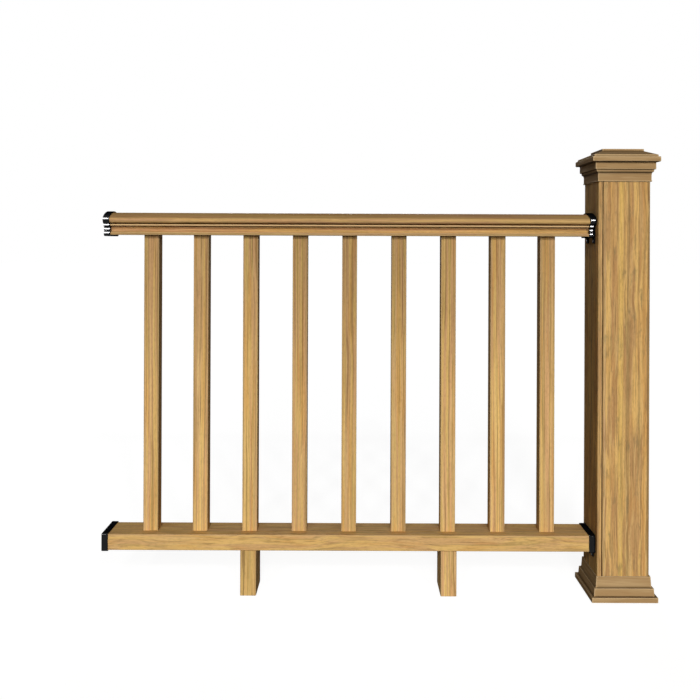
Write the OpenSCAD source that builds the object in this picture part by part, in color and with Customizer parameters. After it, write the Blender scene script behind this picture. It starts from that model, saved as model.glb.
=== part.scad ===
// Deck railing section: one bay of wood-look composite railing with its sleeved post.
// Millimetres, +Z up. The origin is the centre of the post's foot, on the deck.
// The rails run from the post towards -X and the section's front faces -Y.

/* [Bay] */
// Length of the bay, from the post's face to the far ends of the rail brackets
bay_len = 1175; // [1000:5:1500]
// Number of balusters in the bay
baluster_count = 9; // [7:1:12]
// Distance from each end of the bay to the centre of the nearest baluster
baluster_inset = 110; // [80:1:130]

/* [Balusters and foot blocks] */
// Side of a baluster's square section
baluster_w = 36; // [25:1:45]
// Radius of a baluster's long edges
baluster_edge_r = 1.8; // [0.5:0.1:4]
// Thickness of a foot block, measured along the rail
block_w = 38; // [25:1:60]
// Radius of a foot block's upright edges
block_edge_r = 2; // [0.5:0.1:5]

/* [Bottom rail] */
// Gap between the deck and the bottom rail, which is also the foot blocks' height
bottom_gap = 107; // [50:1:140]
// Height of the bottom rail's section
bottom_rail_h = 38; // [30:1:50]
// Depth of the bottom rail's section, front to back
bottom_rail_w = 89; // [70:1:110]
// Radius of the bottom rail's long edges
bottom_edge_r = 2.5; // [0.5:0.1:6]

/* [Top rail] */
// Height of the top rail's crown above the deck
rail_top_z = 912; // [850:1:960]
// Depth of the top rail across its nosings
nosing_w = 89; // [80:1:110]
// Height of the arched top above the widest part of the nosings
dome_h = 18; // [11:0.5:24]
// Radius of each nosing, which the arched top runs into smoothly
nosing_r = 7.5; // [4:0.5:9]
// Depth of the rail across its two beads
bead_w = 73; // [70:0.5:76]
// Thickness of the rounded bead that runs along each side
bead_t = 4; // [3:0.5:6]
// Height of the deep groove between the nosing and the bead
groove_h = 2.9; // [2:0.1:6]
// Depth of the rail across the floors of the deep grooves
neck_w = 48; // [36:0.5:62]
// Height of the narrow groove between the bead and the cove
quirk_h = 3; // [1:0.1:4]
// Depth of the rail across the floors of the narrow grooves
quirk_w = 50; // [44:0.5:53]
// Thickness of the thin lip over the cove
cove_lip_t = 0.6; // [0.3:0.1:1]
// Depth of the rail across the lips over its coves
cove_lip_w = 57; // [54:0.5:63]
// Height of the smooth cove below the lip
cove_h = 11.5; // [9:0.5:16]
// Height of the cove's narrowest part above its foot
waist_h = 4.8; // [3:0.1:7]
// Depth of the rail across the narrowest part of its coved sides
cove_w = 47; // [42:0.5:52]
// Depth of the rail across its foot, below the coves
foot_w = 68; // [66:0.5:76]
// Height of the upright edge at the rail's foot
foot_h = 6.5; // [3:0.5:9]
// Radius of the rail's bottom edges
foot_edge_r = 2; // [0.5:0.1:2.5]

/* [Rail brackets] */
// Length of each bracket along the rail
socket_len = 15; // [10:0.5:30]
// Wall of the brackets on the top rail, which follow its section
shroud_wall = 3; // [2:0.25:4]
// How far those brackets wave in beside the rail's cove
wave_in = 4.5; // [2:0.25:5]
// Wall of the box brackets on the bottom rail
box_wall = 2; // [1.5:0.25:4]
// Thickness of a bracket's back plate
plate_t = 3; // [2:0.25:5]
// Gap between a rail and the bracket around it
rail_clear = 0.3; // [0.2:0.05:0.5]
// Width of a screw tab under a bracket on the post
tab_w = 16; // [12:0.5:20]
// How far a screw tab reaches below its bracket
tab_drop = 13; // [10:0.5:25]
// Distance between the centres of a bracket's two screw tabs
tab_spacing = 54; // [30:1:56]
// Radius of a tab's corners
tab_corner_r = 3; // [1:0.5:5]
// Radius of the screw hole in a tab
tab_hole_r = 2.3; // [1.5:0.1:3.5]

/* [Post sleeve] */
// Outside width of the post sleeve
post_w = 122.5; // [100:0.5:150]
// How far the sleeve rises above the top rail's crown
sleeve_rise = 119; // [80:1:200]
// Thickness of the sleeve's boards
board_t = 9; // [6:0.5:14]
// Radius of the sleeve's outer corners
corner_r = 4.5; // [1:0.25:6]
// Width of the slit that shows along each joint between boards
joint_gap = 1.6; // [0.5:0.1:3]
// Depth of that slit, behind which the boards butt together
joint_depth = 4.5; // [1:0.25:5]
// Chamfer on both edges of the slit
joint_chamfer = 0.8; // [0.2:0.1:1.5]

/* [Post skirt] */
// Gap between the sleeve and the skirt around its foot
skirt_clear = 0.5; // [0.3:0.1:1.5]
// Wall of the skirt at its top edge
skirt_wall = 2.2; // [1.5:0.1:5]
// How far each side of the upper and middle tiers leans out from its top to its foot
skirt_draft = 1.3; // [0:0.1:2]
// Height of the top of the upper tier
upper_tier_z = 57; // [45:1:90]
// Height of the bottom of the upper tier
upper_foot_z = 36.5; // [34:0.5:42]
// How far the middle tier stands out from the sleeve
middle_out = 10; // [8:0.5:14]
// Height of the top of the middle tier
middle_tier_z = 31; // [20:1:33]
// How far the plinth stands out from the sleeve
plinth_out = 16.5; // [12:0.5:30]
// Height of the plinth
plinth_z = 12; // [6:0.5:18]
// Width of the ledge between the upper tier's flared foot and the middle tier's edge
skirt_ledge = 1.8; // [0.5:0.1:3]
// Chamfer on the outer edges of the skirt and the cap
trim_edge = 0.8; // [0.3:0.1:1.2]
// Thickness of the skirt's shell behind the lower tiers
skirt_shell = 3.5; // [2:0.5:6]

/* [Post cap] */
// Gap between the sleeve and the cap's collar
cap_clear = 0.3; // [0.2:0.1:1]
// Wall of the collar that drops over the sleeve
collar_wall = 1.7; // [1.2:0.1:3]
// How far the collar drops below the sleeve's top
collar_drop = 43; // [40:1:70]
// Height of the lip at the foot of the collar
lip_h = 3.5; // [2:0.5:6]
// How far the lip stands out from the collar
lip_out = 0.8; // [0.3:0.1:1.5]
// Height of the collar's plain band, with its lip
band_h = 14; // [10:0.5:20]
// Height of the cove above the band
cap_cove_h = 8; // [5:0.5:9]
// How far the cove widens the collar
cap_cove_out = 2.3; // [0.8:0.1:2.4]
// Width of the flat step between the cove and the round moulding above it
cap_step = 0.6; // [0.3:0.1:1]
// Height of the round moulding between the cove and the crown
ovolo_h = 6.5; // [4:0.5:8]
// How far the round moulding is set back from the crown's face
ovolo_set = 3.4; // [1:0.1:3.5]
// How far the crown stands out from the sleeve
crown_out = 10; // [9:0.5:16]
// Height of the crown above the sleeve's top
crown_rise = 3; // [1:0.5:8]
// How far the slab stands out from the sleeve
slab_out = 18.5; // [16:0.5:30]
// Thickness of the slab
slab_t = 12.5; // [8:0.5:20]
// Radius of the slab's long edges
slab_edge_r = 2.2; // [0.5:0.1:3]
// How far the upper fillet is set back from the slab's edge
fillet_set = 4.5; // [2:0.5:8]
// Height of the upper fillet
fillet_h = 5; // [3:0.5:10]
// Radius of the upper fillet's top edge
fillet_edge_r = 1.8; // [0.5:0.1:2.5]
// Height of the low slope above the fillet
slope_h = 9.8; // [4:0.2:20]
// Width of the raised plate on top of the cap
plate_w = 99; // [60:1:104]
// Height of the raised plate
plate_h = 5.2; // [3:0.2:10]
// Width of the ledge inside the cap that sits on the sleeve's boards
ledge_w = 4.5; // [2:0.5:6]
// Thickness of the cap over its hollow
cap_shell = 6; // [4:0.5:9]

/* [Hidden] */
// Number of flats in a quarter circle on a long edge, and on a larger curve
EDGE_STEPS = 3;
CURVE_STEPS = 6;
NOSING_STEPS = 9;
DOME_STEPS = 10;
WAVE_STEPS = 10;
// How far a cut reaches past the face that it opens
CUT = 1;

wood = [0.74, 0.57, 0.34];
plain_wood = [0.64, 0.50, 0.30];
black_plastic = [0.09, 0.09, 0.10];

post_half = post_w / 2;
bay_right = -post_half;
bay_left = bay_right - bay_len;
rail_right = bay_right - plate_t;
rail_left = bay_left + plate_t;
rail_len = rail_right - rail_left;

first_baluster_x = bay_left + baluster_inset;
baluster_pitch = (bay_len - 2 * baluster_inset) / (baluster_count - 1);
block_index = 3;
bottom_rail_top = bottom_gap + bottom_rail_h;

// Heights in the top rail's section are measured from its underside
waist_z = foot_h + waist_h;
cove_top_z = foot_h + cove_h;
quirk_z = cove_top_z + cove_lip_t;
bead_z = quirk_z + quirk_h + bead_t / 2;
bead_centre = (bead_w - bead_t) / 2;
nosing_foot_z = bead_z + bead_t / 2 + groove_h;
nosing_z = nosing_foot_z + nosing_r;
nosing_centre = nosing_w / 2 - nosing_r;
// The arc over the top touches both nosings' circles from outside, where their radii line up
dome_r = (nosing_centre * nosing_centre + dome_h * dome_h - nosing_r * nosing_r) / (2 * (dome_h - nosing_r));
dome_centre_z = nosing_z + dome_h - dome_r;
dome_from = atan2(nosing_z - dome_centre_z, nosing_centre);
top_rail_h = nosing_z + dome_h;
top_rail_z = rail_top_z - top_rail_h;
wave_top_z = quirk_z + quirk_h / 2;

// How far a tab runs up into its bracket, past its own rounded corners
tab_root = tab_corner_r + box_wall;

post_len = rail_top_z + sleeve_rise;
cap_seat_z = post_len;
collar_z = cap_seat_z - collar_drop;
collar_half = post_half + cap_clear + collar_wall;
crown_half = post_half + crown_out;
slab_half = post_half + slab_out;
fillet_half = slab_half - fillet_set;
slab_z = cap_seat_z + crown_rise;
slab_top_z = slab_z + slab_t;
fillet_top_z = slab_top_z + fillet_h;
slope_top_z = fillet_top_z + slope_h;
cap_top_z = slope_top_z + plate_h;

// Points on an arc or on a quarter of an ellipse, from one angle to another
function arc(cx, cy, rx, ry, from, to, steps) =
    [for (i = [0 : steps]) let (a = from + (to - from) * i / steps) [cx + rx * cos(a), cy + ry * sin(a)]];

// A half section's points followed by their mirror images, from the bottom up and down again
function both_sides(half) =
    concat(half, [for (i = [len(half) - 1 : -1 : 0]) if (half[i][0] > 0) [-half[i][0], half[i][1]]]);

function rounded_rect(w, h, r) = concat(
    arc(w / 2 - r, h / 2 - r, r, r, 0, 90, EDGE_STEPS),
    arc(r - w / 2, h / 2 - r, r, r, 90, 180, EDGE_STEPS),
    arc(r - w / 2, r - h / 2, r, r, 180, 270, EDGE_STEPS),
    arc(w / 2 - r, r - h / 2, r, r, 270, 360, EDGE_STEPS)
);

// A list of points without its first one
function after_first(points) = [for (i = [1 : len(points) - 1]) points[i]];

// The rounded bottom edge of the top rail's half section, grown outwards by grow
function foot_edge(grow) =
    arc(foot_w / 2 - foot_edge_r, foot_edge_r, foot_edge_r + grow, foot_edge_r + grow, -90, 0, EDGE_STEPS);

// The hollow of one side, from the foot's edge in to the waist and out again to the lip
function cove() =
    let (lower_in = (foot_w - cove_w) / 2)
    let (upper_in = (cove_lip_w - cove_w) / 2)
    concat(
        arc(foot_w / 2, waist_z, lower_in, waist_h, 270, 180, CURVE_STEPS),
        after_first(arc(cove_lip_w / 2, waist_z, upper_in, cove_top_z - waist_z, 180, 90, CURVE_STEPS))
    );

// A nosing and the arched top of the half section, grown outwards by grow. The nosing's arc starts
// at the angle from.
function nosing_and_dome(grow, from) = concat(
    arc(nosing_centre, nosing_z, nosing_r + grow, nosing_r + grow, from, dome_from, NOSING_STEPS),
    after_first(arc(0, dome_centre_z, dome_r + grow, dome_r + grow, dome_from, 90, DOME_STEPS))
);

function top_rail_half() = concat(
    foot_edge(0),
    cove(),
    [[cove_lip_w / 2, quirk_z], [quirk_w / 2, quirk_z], [quirk_w / 2, bead_z - bead_t / 2]],
    arc(bead_centre, bead_z, bead_t / 2, bead_t / 2, -90, 90, CURVE_STEPS),
    [[neck_w / 2, bead_z + bead_t / 2], [neck_w / 2, nosing_foot_z]],
    nosing_and_dome(0, -90)
);

// At one circle's centre, the angle between the other's centre and the point where the circles
// cross, which is none where they stay apart
function crossing_angle(own_r, other_r, apart) =
    acos(min(1, (own_r * own_r + apart * apart - other_r * other_r) / (2 * own_r * apart)));

// The side of a bracket around the top rail, from its foot to its bead. It waves in beside the cove.
function wave(grow) =
    [for (i = [0 : WAVE_STEPS]) let (t = i / WAVE_STEPS)
        [foot_w / 2 + grow - wave_in * (1 - cos(360 * t)) / 2, foot_h + (wave_top_z - foot_h) * t]];

// The section of the bracket around the top rail. It follows the foot, bead, nosing and dome,
// and bridges the grooves between them.
function shroud_half(grow) =
    let (bead_r = bead_t / 2 + grow)
    let (nose_r = nosing_r + grow)
    let (run = nosing_centre - bead_centre)
    let (rise = nosing_z - bead_z)
    let (apart = norm([run, rise]))
    let (lean = atan2(rise, run))
    let (bead_from = -asin(min(1, (bead_z - wave_top_z) / bead_r)))
    let (bead_to = lean - crossing_angle(bead_r, nose_r, apart))
    let (nose_from = lean - 180 + crossing_angle(nose_r, bead_r, apart))
    concat(
        foot_edge(grow),
        wave(grow),
        arc(bead_centre, bead_z, bead_r, bead_r, bead_from, bead_to, CURVE_STEPS),
        after_first(nosing_and_dome(grow, nose_from))
    );

// Runs a section in the YZ plane along +X from the given place
module along_x(x, length) {
    translate([x, 0, 0])
        rotate([90, 0, 90])
            linear_extrude(length)
                children();
}

// A square moulding with mitred corners, from its half section as [half width, height] points
module mitred(half) {
    reach = 4 * post_w;
    intersection() {
        along_x(-reach / 2, reach)
            polygon(both_sides(half));
        rotate([0, 0, 90])
            along_x(-reach / 2, reach)
                polygon(both_sides(half));
    }
}

// One board of the sleeve, drawn on the front. Its left end butts against the inside of the next
// board behind a slit, and its right end shows as a narrow strip beside its other neighbour's face.
module sleeve_board(turn) {
    outer = -post_half;
    inner = board_t - post_half;
    left = board_t - post_half;
    right = post_half;
    color(wood)
        rotate([0, 0, turn])
            linear_extrude(post_len)
                polygon(concat(
                    [[left + joint_gap, outer + joint_chamfer], [left + joint_gap + joint_chamfer, outer]],
                    arc(right - corner_r, outer + corner_r, corner_r, corner_r, -90, 0, EDGE_STEPS),
                    [[right, inner - joint_chamfer], [right - joint_chamfer, inner]],
                    [[left, inner], [left, outer + joint_depth], [left + joint_gap, outer + joint_depth]]
                ));
}

module post_front_board() {
    sleeve_board(0);
}

module post_right_board() {
    sleeve_board(90);
}

module post_back_board() {
    sleeve_board(180);
}

module post_left_board() {
    sleeve_board(270);
}

// A moulded shell in three tiers around the sleeve's foot
module post_skirt() {
    bore_half = post_half + skirt_clear;
    upper_half = bore_half + skirt_wall;
    middle_half = post_half + middle_out;
    plinth_half = post_half + plinth_out;
    middle_top_half = middle_half - skirt_draft;
    flare_from = upper_half + skirt_draft;
    flare_to = middle_top_half - skirt_ledge;
    flare_h = upper_foot_z - middle_tier_z;
    color(plain_wood)
        difference() {
            mitred(concat(
                [[0, 0], [plinth_half, 0]],
                [[plinth_half, plinth_z - trim_edge], [plinth_half - trim_edge, plinth_z]],
                [[middle_half, plinth_z], [middle_top_half, middle_tier_z - trim_edge]],
                [[middle_top_half - trim_edge, middle_tier_z]],
                arc(flare_to, upper_foot_z, flare_to - flare_from, flare_h, 270, 180, EDGE_STEPS),
                [[upper_half, upper_tier_z - trim_edge], [upper_half - trim_edge, upper_tier_z]],
                [[0, upper_tier_z]]
            ));
            mitred([
                [0, -CUT],
                [bore_half, -CUT],
                [bore_half, upper_tier_z + CUT],
                [0, upper_tier_z + CUT]
            ]);
            mitred([
                [0, -CUT],
                [plinth_half - skirt_shell, -CUT],
                [plinth_half - skirt_shell, plinth_z - skirt_shell],
                [middle_half - skirt_shell, plinth_z],
                [middle_half - skirt_shell, middle_tier_z - skirt_shell],
                [0, middle_tier_z - skirt_shell]
            ]);
        }
}

// The cap: a collar over the sleeve, a crown, an overhanging slab and a low plate on a slope
module post_cap() {
    band_top_z = collar_z + band_h;
    step_z = band_top_z + cap_cove_h;
    cove_half = collar_half + cap_cove_out;
    ovolo_foot = cove_half + cap_step;
    ovolo_top = crown_half - ovolo_set;
    ovolo_top_z = step_z + ovolo_h;
    slab_edge = slab_half - slab_edge_r;
    bore_half = post_half + cap_clear;
    pocket_half = bore_half - ledge_w;
    color(plain_wood)
        difference() {
            mitred(concat(
                [[0, collar_z], [collar_half + lip_out, collar_z]],
                [[collar_half + lip_out, collar_z + lip_h / 2], [collar_half, collar_z + lip_h]],
                arc(cove_half, band_top_z, cap_cove_out, cap_cove_h, 180, 90, CURVE_STEPS),
                arc(ovolo_foot, ovolo_top_z, ovolo_top - ovolo_foot, ovolo_h, -90, 0, CURVE_STEPS),
                [[crown_half - trim_edge, ovolo_top_z], [crown_half, ovolo_top_z + trim_edge]],
                [[crown_half, slab_z]],
                arc(slab_edge, slab_z + slab_edge_r, slab_edge_r, slab_edge_r, -90, 0, EDGE_STEPS),
                arc(slab_edge, slab_top_z - slab_edge_r, slab_edge_r, slab_edge_r, 0, 90, EDGE_STEPS),
                [[fillet_half, slab_top_z]],
                arc(
                    fillet_half - fillet_edge_r, fillet_top_z - fillet_edge_r,
                    fillet_edge_r, fillet_edge_r, 0, 90, EDGE_STEPS
                ),
                [[plate_w / 2, slope_top_z], [plate_w / 2, cap_top_z - trim_edge]],
                [[plate_w / 2 - trim_edge, cap_top_z], [0, cap_top_z]]
            ));
            mitred([
                [0, collar_z - CUT],
                [bore_half, collar_z - CUT],
                [bore_half, cap_seat_z],
                [pocket_half, cap_seat_z],
                [pocket_half, slab_top_z - cap_shell / 2],
                [plate_w / 2 - cap_shell, slope_top_z - cap_shell],
                [0, slope_top_z - cap_shell]
            ]);
        }
}

module top_rail() {
    color(wood)
        along_x(rail_left, rail_len)
            translate([0, top_rail_z])
                polygon(both_sides(top_rail_half()));
}

module bottom_rail() {
    color(wood)
        along_x(rail_left, rail_len)
            translate([0, bottom_gap + bottom_rail_h / 2])
                polygon(rounded_rect(bottom_rail_w, bottom_rail_h, bottom_edge_r));
}

function baluster_x(i) = first_baluster_x + (i - 1) * baluster_pitch;

module baluster(i) {
    color(wood)
        translate([baluster_x(i), 0, bottom_rail_top])
            linear_extrude(top_rail_z - bottom_rail_top)
                polygon(rounded_rect(baluster_w, baluster_w, baluster_edge_r));
}

// A block between the deck and the bottom rail, under one of the balusters
module foot_block(i) {
    color(wood)
        translate([baluster_x(i), 0, 0])
            linear_extrude(bottom_gap)
                polygon(rounded_rect(block_w, bottom_rail_w, block_edge_r));
}

// Two drilled tabs in the plane of a bracket's back plate, which they run into. They reach down
// from the bracket's underside.
module screw_tabs(underside) {
    tab_h = tab_drop + tab_root;
    for (side = [-1, 1])
        translate([bay_right - plate_t, side * tab_spacing / 2, underside - tab_drop + tab_h / 2])
            difference() {
                rotate([90, 0, 90])
                    linear_extrude(plate_t)
                        polygon(rounded_rect(tab_w, tab_h, tab_corner_r));
                translate([-CUT, 0, -tab_root / 2])
                    rotate([0, 90, 0])
                        cylinder(h = plate_t + 2 * CUT, r = tab_hole_r, $fn = 32);
            }
}

// Turns what is drawn for the post's end of the bay round to the open end
module at_open_end() {
    translate([bay_left + bay_right, 0, 0])
        mirror([1, 0, 0])
            children();
}

// A socket that follows the top rail's section, closed by a plate at the post
module shroud() {
    difference() {
        along_x(bay_right - socket_len, socket_len)
            translate([0, top_rail_z])
                polygon(both_sides(shroud_half(shroud_wall + rail_clear)));
        along_x(bay_right - socket_len - CUT, socket_len - plate_t + CUT)
            translate([0, top_rail_z])
                polygon(both_sides(shroud_half(rail_clear)));
    }
}

// A box socket for the bottom rail, closed by a plate at the post
module box_socket() {
    grow = 2 * (box_wall + rail_clear);
    centre = bottom_gap + bottom_rail_h / 2;
    difference() {
        along_x(bay_right - socket_len, socket_len)
            translate([0, centre])
                polygon(rounded_rect(bottom_rail_w + grow, bottom_rail_h + grow, bottom_edge_r));
        along_x(bay_right - socket_len - CUT, socket_len - plate_t + CUT)
            translate([0, centre])
                polygon(rounded_rect(
                    bottom_rail_w + 2 * rail_clear,
                    bottom_rail_h + 2 * rail_clear,
                    bottom_edge_r
                ));
    }
}

module top_bracket_right() {
    color(black_plastic) {
        shroud();
        screw_tabs(top_rail_z - rail_clear - shroud_wall);
    }
}

module top_bracket_left() {
    color(black_plastic)
        at_open_end()
            shroud();
}

module bottom_bracket_right() {
    color(black_plastic) {
        box_socket();
        screw_tabs(bottom_gap - rail_clear - box_wall);
    }
}

module bottom_bracket_left() {
    color(black_plastic)
        at_open_end()
            box_socket();
}

post_front_board();
post_right_board();
post_back_board();
post_left_board();
post_skirt();
post_cap();
top_rail();
bottom_rail();
for (i = [1 : baluster_count])
    baluster(i);
foot_block(block_index);  // foot_block_left
foot_block(baluster_count + 1 - block_index);  // foot_block_right
top_bracket_left();
top_bracket_right();
bottom_bracket_left();
bottom_bracket_right();
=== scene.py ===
"""The looks of a deck railing section: one bay of wood-look composite railing and its sleeved post.

Everything is in metres, in the frame's own axes: +Z up, the rails run from the post towards -X,
and the front faces -Y. Each class builds and dresses one sub-assembly at the place of its CAD node.
"""

import logging
import math
from dataclasses import dataclass, field
from enum import Enum, IntEnum
from typing import Callable

import bmesh
import bpy
import numpy as np
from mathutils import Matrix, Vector

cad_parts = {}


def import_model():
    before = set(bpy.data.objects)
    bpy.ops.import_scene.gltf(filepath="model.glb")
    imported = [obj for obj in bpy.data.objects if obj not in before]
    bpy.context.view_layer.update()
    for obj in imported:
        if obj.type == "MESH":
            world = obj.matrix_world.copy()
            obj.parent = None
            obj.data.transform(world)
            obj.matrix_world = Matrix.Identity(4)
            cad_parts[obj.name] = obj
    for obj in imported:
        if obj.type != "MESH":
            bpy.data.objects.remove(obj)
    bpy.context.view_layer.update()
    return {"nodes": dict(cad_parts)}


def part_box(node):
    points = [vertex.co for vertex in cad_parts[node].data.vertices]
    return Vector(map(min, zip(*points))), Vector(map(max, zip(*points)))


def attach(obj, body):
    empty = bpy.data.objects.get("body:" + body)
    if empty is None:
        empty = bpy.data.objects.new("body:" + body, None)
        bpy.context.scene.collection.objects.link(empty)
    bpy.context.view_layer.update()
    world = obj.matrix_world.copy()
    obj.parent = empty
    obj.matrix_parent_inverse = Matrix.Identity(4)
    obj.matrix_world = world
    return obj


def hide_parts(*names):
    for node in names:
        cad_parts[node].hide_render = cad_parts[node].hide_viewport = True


MM = 0.001
GRAIN = "grain"
LOT = "lot"
# How far each point stands out: it places painted highlights on raised edges and painted shade in
# grooves.
EDGE_RELIEF = "edge_relief"
RELIEF_REACH = 2.5 * MM
RELIEF_STEP = 0.8 * MM
FINE_STEP = RELIEF_STEP / 4
FEWEST_STEPS = 64
SEED_STEP = 3.7
POST_BOARDS_APART = 7
UPRIGHTS_APART = 5
SHARP_ANGLE = math.radians(38)
MERGE_DISTANCE = 1e-6
TINY = 1e-9
RIM_SPAN = (0.0, 0.2)
HIGHLIGHT_SPAN = (0.10, 0.42)
GROOVE_SHADE_SPAN = (0.02, 0.30)
UNDER_SPAN = (0.05, 0.6)
FADE_SPAN = (-0.12, 0.36)
BROWN_DEPTH = 0.5

Point = tuple[float, float]
Outline = list[Point]
Colour = tuple[float, float, float]

log = logging.getLogger("railing")


def srgb(red: int, green: int, blue: int) -> Colour:
    """Turns a colour as seen on a screen, 0 to 255, into the linear one that shaders take.

    Args:
        red, green, blue: The channels as seen.

    Returns:
        The linear colour.
    """

    def linear(channel: float) -> float:
        """One channel from 0 to 1, made linear."""
        return channel / 12.92 if channel <= 0.04045 else ((channel + 0.055) / 1.055) ** 2.4

    return linear(red / 255), linear(green / 255), linear(blue / 255)


class Axis(Enum):
    """The axis that a board's length, and so its streaks, run along."""

    X = 0
    Y = 1
    Z = 2


class End(Enum):
    """An end of the bay, by the side that it is seen on."""

    OPEN = "left"
    POST = "right"


class Seed(IntEnum):
    """The first seed of each kind of piece, which shifts its pattern of streaks."""

    PLAIN = 0
    POST = 3
    SKIRT = 61
    CAP = 83
    TOP_RAIL = 101
    BOTTOM_RAIL = 131
    BALUSTER = 150
    BLOCK = 211


class Slot(Enum):
    """The record's material slots."""

    BOARD = "streaked_board"
    TRIM = "moulded_trim"
    PLASTIC = "bracket_plastic"


def arc(centre: Point, radii: Point, start: float, end: float, steps: int) -> Outline:
    """Points on an arc, or on part of an ellipse.

    Args:
        centre: The centre.
        radii: The radius along each axis.
        start, end: Angles in degrees, anticlockwise from the first axis.
        steps: How many flats the arc has.

    Returns:
        The points from start to end.
    """
    angles = [math.radians(start + (end - start) * i / steps) for i in range(steps + 1)]
    return [(centre[0] + radii[0] * math.cos(a), centre[1] + radii[1] * math.sin(a)) for a in angles]


def rounded_rectangle(width: float, height: float, radius: float, steps: int = 6) -> Outline:
    """A rectangle about the origin with rounded corners, anticlockwise.

    Args:
        width, height: The sides.
        radius: The corners' radius.
        steps: How many flats a corner has.

    Returns:
        The outline.
    """
    x, y = width / 2 - radius, height / 2 - radius
    round_corner = (radius, radius)
    return [
        *arc((x, y), round_corner, 0, 90, steps),
        *arc((-x, y), round_corner, 90, 180, steps),
        *arc((-x, -y), round_corner, 180, 270, steps),
        *arc((x, -y), round_corner, 270, 360, steps),
    ]


def both_sides(half: Outline) -> Outline:
    """Closes a half section, drawn from the bottom up at positive first coordinates.

    Args:
        half: The half section.

    Returns:
        The half section and its mirror image, anticlockwise.
    """
    return half + [(-x, y) for x, y in reversed(half) if x > TINY]


def inset(outline: Outline, distance: float) -> Outline:
    """Moves an anticlockwise outline inwards by a small distance.

    Args:
        outline: The closed outline.
        distance: How far each side moves.

    Returns:
        As many points as the outline has.
    """
    points = np.array(outline)
    ahead = np.roll(points, -1, axis=0) - points
    ahead /= np.linalg.norm(ahead, axis=1)[:, None]
    normals = np.stack([-ahead[:, 1], ahead[:, 0]], axis=1)
    mean = normals + np.roll(normals, 1, axis=0)
    mean /= np.sum(mean * normals, axis=1)[:, None]
    return [tuple(p) for p in points + mean * distance]


def densified(outline: Outline, closed: bool = True) -> Outline:
    """Adds points along an outline's long flats, so that painted highlights and shade can fade along
    them.

    Args:
        outline: The outline.
        closed: True where its last point joins the first.

    Returns:
        The outline with no two neighbours much further apart than the relief's step.
    """
    points = []
    ends = [*outline[1:], outline[0]] if closed else outline[1:]
    for here, there in zip(outline, ends):
        span = math.dist(here, there)
        near = [RELIEF_STEP * i for i in range(int(min(span / 2, 2 * RELIEF_REACH) / RELIEF_STEP) + 1)]
        stops = sorted({*near, *(span - d for d in near if d > 0.0)})
        points += [
            (here[0] + (there[0] - here[0]) * d / span, here[1] + (there[1] - here[1]) * d / span)
            for d in stops
            if d < span - FINE_STEP
        ]
    return points if closed else [*points, outline[-1]]


def relief(outline: Outline, outward: int = 1) -> np.ndarray:
    """How far each point of a closed outline stands out from its surroundings.

    The outline is smoothed over the relief's reach. A point outside the smoothed one lies on a raised
    edge, which gets a painted highlight, and a point inside it lies in a groove, which gets painted
    shade.

    Args:
        outline: The outline.
        outward: 1 where it is anticlockwise, -1 where it is clockwise.

    Returns:
        A value for each point, positive on edges and negative in grooves.
    """
    points = np.array(outline)
    ahead = np.roll(points, -1, axis=0)
    spans = np.linalg.norm(ahead - points, axis=1)
    total = spans.sum()
    count = max(FEWEST_STEPS, int(total / FINE_STEP))
    at = np.concatenate([[0.0], np.cumsum(spans)])
    fine_at = np.linspace(0.0, total, count, endpoint=False)
    closed = np.vstack([points, points[:1]])
    fine = np.stack([np.interp(fine_at, at, closed[:, i]) for i in (0, 1)], axis=1)
    gap = np.minimum(fine_at, total - fine_at)
    kernel = np.exp(-0.5 * (gap / RELIEF_REACH) ** 2)
    kernel /= kernel.sum()
    smooth = np.real(np.fft.ifft(np.fft.fft(fine, axis=0) * np.fft.fft(kernel)[:, None], axis=0))
    where = at[:-1] / total * count
    low = where.astype(int) % count
    share = (where % 1)[:, None]
    near = smooth[low] * (1 - share) + smooth[(low + 1) % count] * share
    along = ahead - np.roll(points, 1, axis=0)
    normals = np.stack([along[:, 1], -along[:, 0]], axis=1) * outward
    normals /= np.maximum(np.linalg.norm(normals, axis=1), TINY)[:, None]
    return np.sum((points - near) * normals, axis=1) / RELIEF_REACH


@dataclass(frozen=True)
class Grain:
    """How the streaks lie on a piece.

    Attributes:
        along: The axis that they run along.
        seed: Shifts the pattern, so that no two pieces match.
        mitred: True where they turn the corner of a square moulding.
        brown: How much browner this piece is than its neighbours, 0 to 1.
    """

    along: Axis
    seed: int
    mitred: bool = False
    brown: float = 0.0

    def stamp(self, mesh: bpy.types.Mesh) -> None:
        """Writes two attributes for the materials on each face corner.

        The first is the corner's place from the piece's middle, the streaks' direction first. The
        second holds the pattern's shift, the piece's brownness, and how far the corner faces up,
        which is negative where it faces down.

        Args:
            mesh: The finished mesh, in the row frame.
        """
        places = mesh.attributes.new(GRAIN, "FLOAT_VECTOR", "CORNER")
        lots = mesh.attributes.new(LOT, "FLOAT_VECTOR", "CORNER")
        points = np.array([vertex.co for vertex in mesh.vertices])
        points -= (points.min(axis=0) + points.max(axis=0)) / 2
        values = np.zeros((len(mesh.loops), 3), np.float32)
        shifts = np.zeros((len(mesh.loops), 3), np.float32)
        for face in mesh.polygons:
            first = self.along.value
            side = 0
            if self.mitred:
                first = Axis.Y.value if abs(face.center.x) > abs(face.center.y) else Axis.X.value
                side = int(face.center[1 - first] > 0) + 2 * first
            order = [first, (first + 1) % 3, (first + 2) % 3]
            for corner in face.loop_indices:
                values[corner] = points[mesh.loops[corner].vertex_index][order]
                upward = mesh.corner_normals[corner].vector.z
                shifts[corner] = ((self.seed + side) * SEED_STEP, self.brown, upward)
        places.data.foreach_set("vector", values.ravel())
        lots.data.foreach_set("vector", shifts.ravel())


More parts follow.
